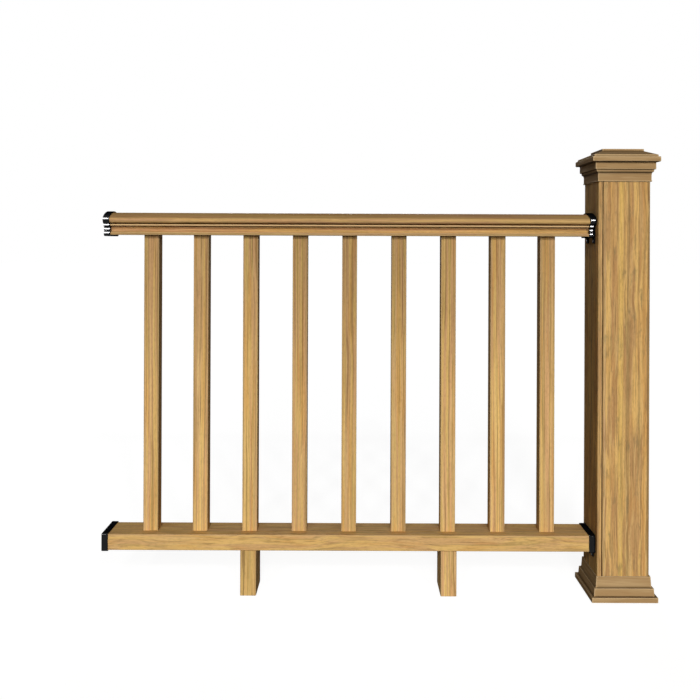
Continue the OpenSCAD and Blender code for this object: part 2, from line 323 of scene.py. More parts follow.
@dataclass
class Skin:
    """Collects closed rings of points into one mesh."""

    vertices: list[Vector] = field(default_factory=list)
    faces: list[list[int]] = field(default_factory=list)
    edge_relief: list[float] = field(default_factory=list)

    def add(
        self, rings: list[np.ndarray], looped: bool = False, edge_relief: np.ndarray | float = 0.0
    ) -> "Skin":
        """Skins rings of equal length one after another.

        Args:
            rings: Closed rings, each an array of points.
            looped: True where the last ring joins the first. Otherwise both end rings are filled.
            edge_relief: The relief of a ring's points, or of all points ring by ring.

        Returns:
            This skin.
        """
        count = len(rings[0])
        base = len(self.vertices)
        self.vertices += [Vector(point) for ring in rings for point in ring]
        self.edge_relief += list(np.broadcast_to(edge_relief, (len(rings), count)).ravel())
        pairs = len(rings) if looped else len(rings) - 1
        for i in range(pairs):
            here, there = base + i * count, base + (i + 1) % len(rings) * count
            for j in range(count):
                k = (j + 1) % count
                self.faces.append([here + j, here + k, there + k, there + j])
        if not looped:
            self.faces.append([base + j for j in reversed(range(count))])
            self.faces.append([base + (len(rings) - 1) * count + j for j in range(count)])
        return self

    def build(self, name: str, grain: Grain) -> bpy.types.Object:
        """Makes the object, with outward faces, smooth curves and crisp edges.

        Args:
            name: The piece's name.
            grain: How its streaks lie.

        Returns:
            The object, linked to the scene.
        """
        mesh = bpy.data.meshes.new(name)
        mesh.from_pydata(self.vertices, [], self.faces)
        mesh.attributes.new(EDGE_RELIEF, "FLOAT", "POINT").data.foreach_set("value", self.edge_relief)
        work = bmesh.new()
        work.from_mesh(mesh)
        bmesh.ops.remove_doubles(work, verts=work.verts, dist=MERGE_DISTANCE)
        bmesh.ops.recalc_face_normals(work, faces=work.faces)
        work.to_mesh(mesh)
        work.free()
        mesh.shade_smooth()
        mesh.set_sharp_from_angle(angle=SHARP_ANGLE)
        grain.stamp(mesh)
        made = bpy.data.objects.new(name, mesh)
        bpy.context.scene.collection.objects.link(made)
        weighted = made.modifiers.new("even_shading", "WEIGHTED_NORMAL")
        weighted.keep_sharp = True
        return made


def ring(outline: Outline, axis: Axis, at: float, centre: Point = (0.0, 0.0)) -> np.ndarray:
    """Places a section square to an axis.

    Args:
        outline: The section. Along X its coordinates are Y and Z, and along Z they are X and Y.
        axis: The axis that the section is square to.
        at: Where on that axis it lies.
        centre: Where the section's origin goes.

    Returns:
        The ring's points.
    """
    flat = np.array(outline) + np.array(centre)
    level = np.full((len(flat), 1), at)
    return np.hstack([level, flat] if axis is Axis.X else [flat, level])


def eased_prism(
    outline: Outline, axis: Axis, span: Point, ease: float, centre: Point = (0.0, 0.0)
) -> list[np.ndarray]:
    """A straight board with a small chamfer around both ends.

    Args:
        outline: Its section.
        axis: The axis of its length.
        span: Where it starts and ends on that axis.
        ease: The chamfer.
        centre: Where the section's origin goes.

    Returns:
        The rings to skin.
    """
    smaller = inset(outline, ease)
    start, end = span
    return [
        ring(smaller, axis, start, centre),
        ring(outline, axis, start + ease, centre),
        ring(outline, axis, end - ease, centre),
        ring(smaller, axis, end, centre),
    ]


class Signal:
    """A node's output, with arithmetic that adds Math nodes."""

    def __init__(self, sheet: "Sheet", socket: bpy.types.NodeSocket) -> None:
        """Keeps the output and the sheet that it belongs to."""
        self.sheet = sheet
        self.socket = socket

    def _math(self, operation: str, first: "Input", second: "Input") -> "Signal":
        """Adds one Math node and returns its output."""
        return self.sheet.add("ShaderNodeMath", {"operation": operation}, {0: first, 1: second})

    def __add__(self, other: "Input") -> "Signal":
        """The sum."""
        return self._math("ADD", self, other)

    def __radd__(self, other: "Input") -> "Signal":
        """The sum, the other way round."""
        return self._math("ADD", other, self)

    def __sub__(self, other: "Input") -> "Signal":
        """The difference."""
        return self._math("SUBTRACT", self, other)

    def __rsub__(self, other: "Input") -> "Signal":
        """The difference, the other way round."""
        return self._math("SUBTRACT", other, self)

    def __mul__(self, other: "Input") -> "Signal":
        """The product."""
        return self._math("MULTIPLY", self, other)

    def __rmul__(self, other: "Input") -> "Signal":
        """The product, the other way round."""
        return self._math("MULTIPLY", other, self)

    def rise(self, low: float, high: float) -> "Signal":
        """A smooth step from 0 to 1.

        Args:
            low: Where it leaves 0.
            high: Where it reaches 1.

        Returns:
            The step.
        """
        return self.sheet.add(
            "ShaderNodeMapRange",
            {"interpolation_type": "SMOOTHSTEP"},
            {"Value": self, "From Min": low, "From Max": high},
        )

    def size(self) -> "Signal":
        """The value without its sign."""
        return self._math("ABSOLUTE", self, 0.0)

    def part(self, index: int) -> "Signal":
        """One coordinate of a vector."""
        return self.sheet.add("ShaderNodeSeparateXYZ", {}, {0: self}, out=index)


Input = Signal | float | Colour
Place = tuple[Signal, Signal, Signal]


class Sheet:
    """A node tree and the one way of adding nodes to it."""

    def __init__(self, owner: bpy.types.Material | bpy.types.World) -> None:
        """Empties the owner's node tree.

        Args:
            owner: The material or world.
        """
        owner.use_nodes = True
        self.tree = owner.node_tree
        self.tree.nodes.clear()

    def add(
        self,
        kind: str,
        settings: dict[str, object],
        sockets: dict[str | int, Input],
        out: str | int = 0,
    ) -> Signal:
        """Adds a node.

        Args:
            kind: The node's type.
            settings: Its own settings, set first.
            sockets: A value or a link for each input, by name or number.
            out: The output to return.

        Returns:
            That output.
        """
        node = self.tree.nodes.new(kind)
        for name, value in settings.items():
            setattr(node, name, value)
        for name, value in sockets.items():
            target = node.inputs[name]
            if isinstance(value, Signal):
                self.tree.links.new(value.socket, target)
            elif target.type == "RGBA":
                target.default_value = (*value, 1.0)
            else:
                target.default_value = value
        return Signal(self, node.outputs[out] if node.outputs else None)

    def read(self, attribute: str) -> Signal:
        """Reads a vector attribute of the mesh."""
        return self.add("ShaderNodeAttribute", {"attribute_name": attribute}, {}, out="Vector")

    def vector(self, x: Input, y: Input, z: Input) -> Signal:
        """Joins three values into a vector."""
        return self.add("ShaderNodeCombineXYZ", {}, {0: x, 1: y, 2: z})

    def noise(
        self, place: Signal, detail: float = 2.0, roughness: float = 0.5, scale: float = 1.0
    ) -> Signal:
        """Smooth noise about 0.5.

        Args:
            place: Where it is read.
            detail: How many finer octaves it has.
            roughness: How strong those are.
            scale: How many of its largest features fit in a unit of the place.

        Returns:
            The noise.
        """
        sockets = {"Vector": place, "Scale": scale, "Detail": detail, "Roughness": roughness}
        return self.add("ShaderNodeTexNoise", {}, sockets)

    def stretched(self, place: Place, shift: Signal, lengthwise: float, crosswise: float) -> Signal:
        """Scales a place on a piece by its grain, and shifts it.

        Args:
            place: The place along, across and deep in the piece.
            shift: What is added to each coordinate.
            lengthwise: The scale along the grain.
            crosswise: The scale across it and in depth.

        Returns:
            The vector to read noise at.
        """
        scales = (lengthwise, crosswise, crosswise)
        return self.vector(*(part * scale + shift for part, scale in zip(place, scales)))

    def bump(self, height: Signal, strength: float, distance: float) -> Signal:
        """Turns a height into a normal.

        Args:
            height: The height, 0 to 1.
            strength: How strongly it shows.
            distance: What a height of 1 stands for, in metres.

        Returns:
            The normal.
        """
        sockets = {"Strength": strength, "Distance": distance, "Height": height}
        return self.add("ShaderNodeBump", {}, sockets, out="Normal")

    def coat(self, tone: Signal, roughness: Signal, shine: float, normal: Signal) -> Signal:
        """Adds a non-metal surface.

        Args:
            tone: Its colour.
            roughness: Its roughness.
            shine: Its specular level.
            normal: Its normal.

        Returns:
            The shader.
        """
        look = {"Base Color": tone, "Roughness": roughness, "Normal": normal}
        return self.add("ShaderNodeBsdfPrincipled", {}, {**look, "Specular IOR Level": shine})

    def with_painted_light(self, tone: Signal, upward: Signal, look: "PaintedLight") -> Signal:
        """Paints highlights on raised edges, and shade in grooves, on top and underneath; darkens a
        band beside edges.

        Args:
            tone: The colour.
            upward: How far the surface faces up, negative where it faces down.
            look: How strongly each shows.

        Returns:
            The colour with painted light.
        """
        relief = self.read(EDGE_RELIEF).part(0)
        # A darker band just beside raised edges.
        tone = self.mix(relief.rise(*RIM_SPAN) * look.rim, tone, look.dull)
        # Painted highlight: raised edges turn pale.
        tone = self.mix(relief.rise(*HIGHLIGHT_SPAN) * look.wear_and_highlight, tone, look.pale)
        # Painted shade in grooves and inner corners.
        tone = self.darken((0.0 - relief).rise(*GROOVE_SHADE_SPAN) * look.groove_shade, tone, 0.3)
        # Painted shade on upward faces.
        tone = self.darken(upward.rise(*look.top_span) * look.top, tone, 0.0)
        # Painted shade on downward faces.
        return self.darken((0.0 - upward).rise(*UNDER_SPAN) * look.under, tone, 0.2)

    def mix(self, share: Input, first: Signal | Colour, second: Signal | Colour) -> Signal:
        """Blends two colours.

        Args:
            share: How much of the second shows, 0 to 1.
            first, second: The colours.

        Returns:
            The blend.
        """
        return self.add("ShaderNodeMix", {"data_type": "RGBA"}, {0: share, 6: first, 7: second}, out=2)

    def darken(self, share: Input, tone: Signal, depth: float) -> Signal:
        """Darkens a colour.

        Args:
            share: How much of the darkening shows, 0 to 1.
            tone: The colour.
            depth: What is left of it where all of the darkening shows.

        Returns:
            The darker colour.
        """
        settings = {"data_type": "RGBA", "blend_type": "MULTIPLY"}
        return self.add("ShaderNodeMix", settings, {0: share, 6: tone, 7: (depth,) * 3}, out=2)

    def surface(self, shader: Signal) -> None:
        """Makes a shader the tree's surface."""
        world = any(n.type == "BACKGROUND" for n in self.tree.nodes)
        kind = "ShaderNodeOutputWorld" if world else "ShaderNodeOutputMaterial"
        self.add(kind, {}, {"Surface": shader})

    def seen_directly(self) -> Signal:
        """1 for rays that show a background itself: the camera's, and those in gloss and glass."""
        path = self.add("ShaderNodeLightPath", {}, {}, out="Is Camera Ray")
        node = path.socket.node
        gloss = Signal(self, node.outputs["Is Glossy Ray"])
        glass = Signal(self, node.outputs["Is Transmission Ray"])
        return (path + gloss + glass).rise(0.0, 1.0)


@dataclass(frozen=True)
class PaintedLight:
    """Painted light on a surface: highlights on raised edges, and shade in grooves, on top and
    underneath.

    Attributes:
        wear_and_highlight: How strongly raised edges are painted pale, as a painted highlight.
        pale: The colour of that painted highlight.
        rim: How strongly the surface just beside a raised edge is darkened.
        dull: The colour that it is darkened to.
        groove_shade: How strongly grooves and inner corners are darkened with painted shade.
        top: How strongly upward faces are darkened with painted shade.
        top_span: How far up a surface turns where that painted shade starts, and where it is darkest.
        under: How strongly downward faces are darkened with painted shade.
    """

    wear_and_highlight: float = 0.4
    pale: Colour = srgb(216, 182, 132)
    rim: float = 0.0
    dull: Colour = srgb(166, 138, 96)
    groove_shade: float = 0.7
    top: float = 0.3
    top_span: Point = (0.1, 0.9)
    under: float = 0.0


@dataclass(frozen=True)
class Band:
    """A band of colour at a set place on a board's face: a broad streak, or a painted line of shade or
    highlight.

    Attributes:
        at: How far from the middle of the face it runs.
        half: Half of its width.
        colour: Its colour.
        share: How strongly it shows.
    """

    at: float
    half: float
    colour: Colour
    share: float


@dataclass(frozen=True)
class Streak:
    """A layer of noise drawn out along a board.

    Attributes:
        layer: Sets it apart from the others.
        width, length: A streak's size, as shares of the board's broad streaks.
        low, high: The noise where it starts to show, and where it shows fully.
        share: How strongly it shows.
        detail: How many finer octaves it has.
    """

    layer: float
    width: float
    length: float
    low: float
    high: float
    share: float = 1.0
    detail: float = 2.0


BROAD = Streak(11.0, 1.0, 1.0, 0.42, 0.58)
PATCH = Streak(83.0, 1.6, 0.5, 0.5, 0.64)
MOSSY = Streak(53.0, 0.7, 1.0, 0.53, 0.70, 0.6)
MIDDLE = Streak(23.0, 0.5, 0.8, 0.52, 0.70, 0.6)
DARK = Streak(71.0, 0.45, 0.6, 0.54, 0.72, 0.5)
FINE = Streak(37.0, 0.22, 0.5, 0.50, 0.72, 0.55, 3.0)
FINE_PALE = (0.54, 0.74)
LINE_LAYER = 91.0
LINE_WIDTH = 4.5 * MM
LINE_LENGTH = 3.0
LINE_SPAN = (0.54, 0.66)
DRIFT_CROSSWISE = 14.0
CLOUD = (20.0, 90.0)
CLOUD_SPAN = (0.55, 0.72)
SPECK = (90.0, 420.0)
SPECK_SPAN = (0.45, 0.70)
SPECK_SHARE = 0.45
SPECK_DEPTH = 0.7
SWAY_ACROSS = 5
SWAY_DEEP = 4
BAND_CORE = 0.35
BOARD_EDGE = (0.006, 0.010)
TRIM_BROAD = (7.0, 90.0)
TRIM_FINE = (16.0, 520.0)


@dataclass(frozen=True)
class StreakedBoard:
    """Wood-look composite: golden tan with long wandering streaks and a fine brushed surface.

    Attributes:
        name: The material's name.
        gold, blush: The two main colours, which lie side by side in broad streaks.
        straw, moss, umber: The colours of the paler, greener and darker streaks over them.
        smoke: The colour of the smoky blotches.
        amber, ambers: The colour of the broad orange patches, and how strongly they show.
        width, length: The size of a broad streak.
        wander: How far streaks drift sideways.
        pace: How many times a metre they drift.
        blotch: How strongly the blotches show.
        lines: How strongly thin dark lines run along the whole piece.
        fade: How much browner a piece gets towards its far end along the grain.
        foot, foot_shade: How far below its middle a rail's foot starts, and how strongly painted shade
            darkens it.
        painted_light: Its painted edge highlights, and its painted shade in grooves, on top and
            underneath.
        bands: Broad streaks at set places, and painted lines of shade and highlight.
        rough, shine: The mean roughness, and the specular level.
    """

    name: str
    gold: Colour = srgb(208, 168, 104)
    blush: Colour = srgb(200, 154, 110)
    straw: Colour = srgb(228, 188, 124)
    moss: Colour = srgb(176, 148, 94)
    umber: Colour = srgb(150, 114, 72)
    smoke: Colour = srgb(120, 110, 78)
    amber: Colour = srgb(206, 150, 84)
    ambers: float = 0.0
    width: float = 0.007
    length: float = 0.6
    wander: float = 0.004
    pace: float = 2.0
    blotch: float = 0.0
    lines: float = 0.0
    fade: float = 0.0
    foot: float = 0.02
    foot_shade: float = 0.0
    # Painted highlights on edges, and painted shade in grooves and on top.
    painted_light: PaintedLight = PaintedLight()
    bands: tuple[Band, ...] = ()
    rough: float = 0.62
    shine: float = 0.002

    def material(self) -> bpy.types.Material:
        """Makes the material.

        Returns:
            The material, which reads the mesh's grain, lot and edge relief attributes.
        """
        made = bpy.data.materials.new(self.name)
        sheet = Sheet(made)
        place, lot = sheet.read(GRAIN), sheet.read(LOT)
        along, flat_across, flat_deep = place.part(0), place.part(1), place.part(2)
        shift, brown = lot.part(0), lot.part(1)
        upward = lot.part(2) * flat_deep.rise(0.0, 4 * MM)
        flat = (along, flat_across, flat_deep)
        drift = sheet.noise(sheet.stretched(flat, shift, self.pace, DRIFT_CROSSWISE)) - 0.5
        across = flat_across + drift * self.wander * SWAY_ACROSS
        deep = flat_deep + drift * self.wander * SWAY_DEEP
        drifted = (along, across, deep)

        def drawn(streak: Streak) -> Signal:
            """The noise of one layer of streaks."""
            length, width = streak.length * self.length, streak.width * self.width
            apart = shift + streak.layer
            return sheet.noise(sheet.stretched(drifted, apart, 1 / length, 1 / width), streak.detail)

        def shown(streak: Streak, noise: Signal | None = None) -> Signal:
            """How strongly a layer shows, from its noise."""
            return (noise or drawn(streak)).rise(streak.low, streak.high) * streak.share

        fine, middle = drawn(FINE), drawn(MIDDLE)
        tone = sheet.mix(shown(BROAD), self.gold, self.blush)
        tone = sheet.mix(shown(PATCH) * self.ambers, tone, self.amber)
        lane = flat_across + drift * self.wander
        facing = 1 - flat_deep.size().rise(*BOARD_EDGE)
        # Bands: broad streaks, and painted lines of shade and highlight.
        for band in self.bands:
            beside = (lane - band.at).size().rise(band.half * BAND_CORE, band.half)
            near = facing - beside * facing
            tone = sheet.mix(near * band.share * (middle * 0.8 + 0.6), tone, band.colour)
        tone = sheet.mix(shown(MOSSY), tone, self.moss)
        tone = sheet.mix(shown(MIDDLE, middle), tone, self.straw)
        tone = sheet.mix(shown(DARK), tone, self.umber)
        tone = sheet.mix(shown(FINE, fine), tone, self.umber)
        tone = sheet.mix((1 - fine).rise(*FINE_PALE) * 0.5, tone, self.straw)
        if self.lines:
            thin = sheet.stretched(drifted, shift + LINE_LAYER, 1 / LINE_LENGTH, 1 / LINE_WIDTH)
            tone = sheet.mix(sheet.noise(thin, 1.0).rise(*LINE_SPAN) * self.lines, tone, self.umber)
        if self.blotch:
            cloud = sheet.noise(sheet.stretched(drifted, shift, *CLOUD), 4.0, 0.6)
            tone = sheet.mix(cloud.rise(*CLOUD_SPAN) * self.blotch, tone, self.smoke)
        speck = sheet.noise(sheet.stretched(drifted, shift, *SPECK))
        tone = sheet.darken(speck.rise(*SPECK_SPAN) * SPECK_SHARE, tone, SPECK_DEPTH)
        # Painted shade on a rail's foot, below its middle.
        if self.foot_shade:
            below = (-self.foot - flat_deep).rise(0.0, 3 * MM)
            tone = sheet.darken(below * self.foot_shade, tone, BROWN_DEPTH)
        tone = sheet.darken(brown + along.rise(*FADE_SPAN) * self.fade, tone, BROWN_DEPTH)
        tone = sheet.with_painted_light(tone, upward, self.painted_light)
        normal = sheet.bump(fine + middle * 0.5, strength=0.35, distance=0.4 * MM)
        sheet.surface(sheet.coat(tone, self.rough + (fine - 0.5) * 0.25, self.shine, normal))
        return made


@dataclass(frozen=True)
class MouldedTrim:
    """The plainer, browner composite of the cap and skirt, with faint streaks.

    Attributes:
        name: The material's name.
        ground, straw, umber: Its colours.
        painted_light: Its painted edge highlights, and its painted shade in grooves, on top and
            underneath.
        rough, shine: The mean roughness, and the specular level.
    """

    name: str
    ground: Colour = srgb(174, 140, 96)
    straw: Colour = srgb(191, 159, 114)
    umber: Colour = srgb(144, 110, 70)
    # Painted highlights on edges, and painted shade in grooves, on top and underneath.
    painted_light: PaintedLight = PaintedLight(
        wear_and_highlight=0.9, pale=srgb(208, 178, 134), groove_shade=0.9, top=0.5, top_span=(0.45, 0.9), under=0.8
    )
    rough: float = 0.6
    shine: float = 0.002

    def material(self) -> bpy.types.Material:
        """Makes the material.

        Returns:
            The material, which reads the mesh's grain, lot and edge relief attributes.
        """
        made = bpy.data.materials.new(self.name)
        sheet = Sheet(made)
        place, lot = sheet.read(GRAIN), sheet.read(LOT)
        parts = (place.part(0), place.part(1), place.part(2))
        shift, brown, upward = lot.part(0), lot.part(1), lot.part(2)
        broad = sheet.noise(sheet.stretched(parts, shift, *TRIM_BROAD))
        fine = sheet.noise(sheet.stretched(parts, shift, *TRIM_FINE), 3.0)
        tone = sheet.mix(broad.rise(0.42, 0.68), self.ground, self.straw)
        tone = sheet.mix(fine.rise(0.5, 0.75) * 0.5, tone, self.umber)
        tone = sheet.darken(brown, tone, BROWN_DEPTH)
        tone = sheet.with_painted_light(tone, upward, self.painted_light)
        normal = sheet.bump(fine, strength=0.25, distance=0.3 * MM)
        sheet.surface(sheet.coat(tone, self.rough + (fine - 0.5) * 0.2, self.shine, normal))
        return made


@dataclass(frozen=True)
class GlossPlastic:
    """Black moulded plastic with a faint orange-peel surface, whose gloss gives way to plain diffuse
    at grazing angles.

    Attributes:
        name: The material's name.
        colour: Its colour.
        rough, shine: The mean roughness, and the specular level.
    """

    name: str
    colour: Colour = srgb(13, 14, 16)
    rough: float = 0.07
    shine: float = 0.14

    def material(self) -> bpy.types.Material:
        """Makes the material.

        Returns:
            The material.
        """
        made = bpy.data.materials.new(self.name)
        sheet = Sheet(made)
        place = sheet.add("ShaderNodeTexCoord", {}, {}, out="Object")
        peel = sheet.noise(place, scale=900.0)
        wear_and_highlight = sheet.noise(place, detail=4.0, scale=60.0)
        normal = sheet.bump(peel, strength=0.008, distance=0.2 * MM)
        tone = sheet.mix(wear_and_highlight.rise(0.4, 0.7), self.colour, tuple(c * 1.6 for c in self.colour))
        gloss = sheet.coat(tone, self.rough + (wear_and_highlight - 0.5) * 0.06, self.shine, normal)
        dull = sheet.add("ShaderNodeBsdfDiffuse", {}, {"Color": tone})
        # Plain diffuse instead of gloss where the surface is seen at a grazing angle, which keeps
        # reflections off the rims.
        grazing = sheet.add("ShaderNodeLayerWeight", {}, {"Blend": 0.5}, out="Facing")
        sockets = {0: grazing.rise(0.25, 0.6), 1: gloss, 2: dull}
        sheet.surface(sheet.add("ShaderNodeMixShader", {}, sockets))
        return made


@dataclass(frozen=True)
class BlackenedSteel:
    """The screws' blackened steel.

    Attributes:
        name: The material's name.
        colour: Its colour.
    """

    name: str
    colour: Colour = srgb(58, 58, 60)

    def material(self) -> bpy.types.Material:
        """Makes the material.

        Returns:
            The material.
        """
        made = bpy.data.materials.new(self.name)
        sheet = Sheet(made)
        place = sheet.add("ShaderNodeTexCoord", {}, {}, out="Object")
        speck = sheet.noise(place, detail=3.0, scale=700.0)
        tone = sheet.mix(speck.rise(0.4, 0.7), self.colour, tuple(c * 0.5 for c in self.colour))
        sockets = {"Base Color": tone, "Metallic": 0.9, "Roughness": 0.3 + speck * 0.2}
        sheet.surface(sheet.add("ShaderNodeBsdfPrincipled", {}, sockets))
        return made


@dataclass
class Finishes:
    """The materials, made once and shared."""

    board: bpy.types.Material
    top_board: bpy.types.Material
    low_board: bpy.types.Material
    post_board: bpy.types.Material
    trim: bpy.types.Material
    plastic: bpy.types.Material
    steel: bpy.types.Material

    @classmethod
    def make(cls) -> "Finishes":
        """Makes every material.

        Returns:
            The materials.
        """
        return cls(
            board=StreakedBoard(
                "streaked_board",
                gold=srgb(240, 197, 119),
                blush=srgb(229, 179, 124),
                straw=srgb(248, 210, 142),
                moss=srgb(200, 172, 106),
                amber=srgb(228, 168, 94),
                ambers=0.6,
                lines=0.6,
                fade=0.5,
                # Painted highlights on edges, painted shade in grooves and on top, and a darker band
                # beside edges.
                painted_light=PaintedLight(rim=0.35),
            ).material(),
            top_board=StreakedBoard(
                "long_streaked_board",
                width=0.008,
                length=0.45,
                pace=3.0,
                # Painted shade on the rail's foot.
                foot_shade=0.62,
                ambers=0.3,
                # Painted highlights on the rail's edges, and painted shade on top and in grooves.
                painted_light=PaintedLight(wear_and_highlight=0.9, top=0.36, groove_shade=0.12),
            ).material(),
            low_board=StreakedBoard(
                "waved_board",
                gold=srgb(226, 184, 112),
                blush=srgb(214, 170, 114),
                ambers=0.4,
                width=0.010,
                length=0.22,
                wander=0.007,
                pace=4.0,
                # Painted highlights on edges, and painted shade in grooves and on top.
                painted_light=PaintedLight(top=0.15),
            ).material(),
            post_board=StreakedBoard(
                "smoky_board",
                gold=srgb(229, 184, 112),
                blush=srgb(194, 150, 98),
                moss=srgb(171, 142, 92),
                width=0.010,
                length=0.22,
                wander=0.004,
                pace=4.0,
                blotch=0.5,
                ambers=0.35,
                lines=0.35,
                bands=(
                    # Painted shade along the joint's slit, a painted highlight beside it, and painted
                    # shade on the rounded far corner.
                    Band(-0.0545, 0.0030, srgb(104, 74, 44), 0.8),
                    Band(-0.0495, 0.0020, srgb(216, 182, 142), 0.6),
                    Band(0.0530, 0.0050, srgb(104, 80, 48), 0.7),
                    Band(-0.030, 0.007, srgb(190, 142, 92), 0.6),
                    Band(-0.012, 0.008, srgb(228, 186, 104), 0.8),
                    Band(0.005, 0.005, srgb(160, 128, 82), 0.7),
                    Band(0.044, 0.007, srgb(216, 160, 90), 0.6),
                ),
            ).material(),
            trim=MouldedTrim("moulded_trim").material(),
            plastic=GlossPlastic("bracket_plastic").material(),
            steel=BlackenedSteel("blackened_steel").material(),
        )


@dataclass
class SubAssembly:
    """Shared by all sub-assemblies: the finishes and how a piece joins the part."""

    finishes: Finishes

    def finish_piece(
        self,
        made: bpy.types.Object,
        material: bpy.types.Material,
        slot: Slot | None,
        node: str | None = None,
    ) -> None:
        """Gives a piece its material and body, and hides the CAD node that it stands for.

        Args:
            made: The piece.
            material: Its material.
            slot: The record's slot, if it has one. Not used.
            node: The CAD node that it stands for, if any.
        """
        made.data.materials.append(material)
        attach(made, "root")
        if node is not None:
            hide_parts(node)
        log.info("%s: %d faces", made.name, len(made.data.polygons))

    def straight_board(
        self,
        node: str,
        outline: Outline,
        ease: float,
        centre: Point,
        grain: Grain,
        material: bpy.types.Material,
    ) -> None:
        """Builds a straight board in its CAD node's place, with its grain along its length.

        Args:
            node: The CAD node.
            outline: The board's section.
            ease: The chamfer around its ends.
            centre: Where the section's origin goes.
            grain: How its streaks lie.
            material: Its material.
        """
        low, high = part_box(node)
        span = (low.x, high.x) if grain.along is Axis.X else (low.z, high.z)
        outline = densified(outline)
        rings = eased_prism(outline, grain.along, span, ease, centre)
        made = Skin().add(rings, edge_relief=relief(outline)).build(f"{node}_body", grain)
        self.finish_piece(made, material, Slot.BOARD, node)


@dataclass
class PostSleeve(SubAssembly):
    """Four boards around the post, each with one end showing as a narrow strip.

    Attributes:
        board_t: A board's thickness.
        corner_r: The radius of the sleeve's outer corners.
        joint_gap, joint_depth: The width and depth of the slit along each joint.
        joint_r: The radius of the slit's edges.
        ease: The chamfer around the boards' ends.
    """

    board_t: float = 9 * MM
    corner_r: float = 4 * MM
    joint_gap: float = 2.4 * MM
    joint_depth: float = 4.5 * MM
    joint_r: float = 0.9 * MM
    ease: float = 0.6 * MM

    def section(self, half: float) -> Outline:
        """The front board's section, with the sleeve's centre as its origin.

        Args:
            half: Half of the sleeve's width.

        Returns:
            The outline, anticlockwise.
        """
        inner = self.board_t - half
        end = inner + self.joint_gap
        joint = (self.joint_r, self.joint_r)
        corner = (self.corner_r, self.corner_r)
        return [
            *arc((end + self.joint_r, self.joint_r - half), joint, 180, 270, 5),
            *arc((half - self.corner_r, self.corner_r - half), corner, -90, 0, 8),
            *arc((half - self.joint_r, inner - self.joint_r), joint, 0, 90, 5),
            (inner, inner),
            (inner, self.joint_depth - half),
            (end, self.joint_depth - half),
        ]

    def build(self) -> None:
        """Builds the four boards."""
        low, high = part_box("post_front_board")
        half = high.x
        outline = densified(self.section(half))
        section, edge_relief = np.array(outline), relief(outline)
        for turn, side in enumerate(("front", "right", "back", "left")):
            angle = math.radians(90 * turn)
            cosine, sine = math.cos(angle), math.sin(angle)
            turned = section @ np.array([[cosine, sine], [-sine, cosine]])
            rings = eased_prism([tuple(p) for p in turned], Axis.Z, (low.z, high.z), self.ease)
            grain = Grain(Axis.Z, Seed.POST + POST_BOARDS_APART * turn)
            made = Skin().add(rings, edge_relief=edge_relief).build(f"post_{side}_board_body", grain)
            self.finish_piece(made, self.finishes.post_board, Slot.BOARD, f"post_{side}_board")


@dataclass
class SquareMoulding(SubAssembly):
    """A moulding that runs round a square, with softened corners.

    Attributes:
        plan_r: The radius of its corners, seen from above.
        corner_steps: How far from a corner's arc points lie, in mm, so that painted highlights and
            shade can fade.
    """

    plan_r: float = 1.2 * MM
    corner_steps: tuple[float, ...] = (0.0, 0.8, 1.6, 3.0, 5.0)

    def square(self, half: float, z: float) -> np.ndarray:
        """One level of the moulding.

        Args:
            half: Half of its width there.
            z: Its height.

        Returns:
            The ring.
        """
        sides = []
        for turn in range(4):
            angle = math.pi / 2 * turn
            cosine, sine = math.cos(angle), math.sin(angle)
            for across, out in self.side(half):
                sides.append((across * cosine - out * sine, across * sine + out * cosine))
        return ring(sides, Axis.Z, z)

    def side(self, half: float) -> Outline:
        """One side of the square and the corner at its end, from right to left, seen from outside.

        Args:
            half: Half of the square's width.

        Returns:
            The points as distances along the side and out from the middle.
        """
        straight = half - self.plan_r
        near = [straight - d * MM for d in self.corner_steps]
        corner = arc((-straight, straight), (self.plan_r, self.plan_r), 90, 180, 4)
        return [*((x, half) for x in near), *((-x, half) for x in reversed(near[1:])), *corner[:-1]]

    def skin(self, section: Outline, looped: bool, edge_relief: np.ndarray) -> Skin:
        """Skins a section given as half widths and heights.

        Args:
            section: The section.
            looped: True where its end joins its start.
            edge_relief: The relief of its points.

        Returns:
            The skin.
        """
        half, z = section[0]
        corners = relief([tuple(p) for p in self.square(half, z)[:, :2]])
        rings = [self.square(half, z) for half, z in section]
        return Skin().add(rings, looped, edge_relief[:, None] + corners[None, :])


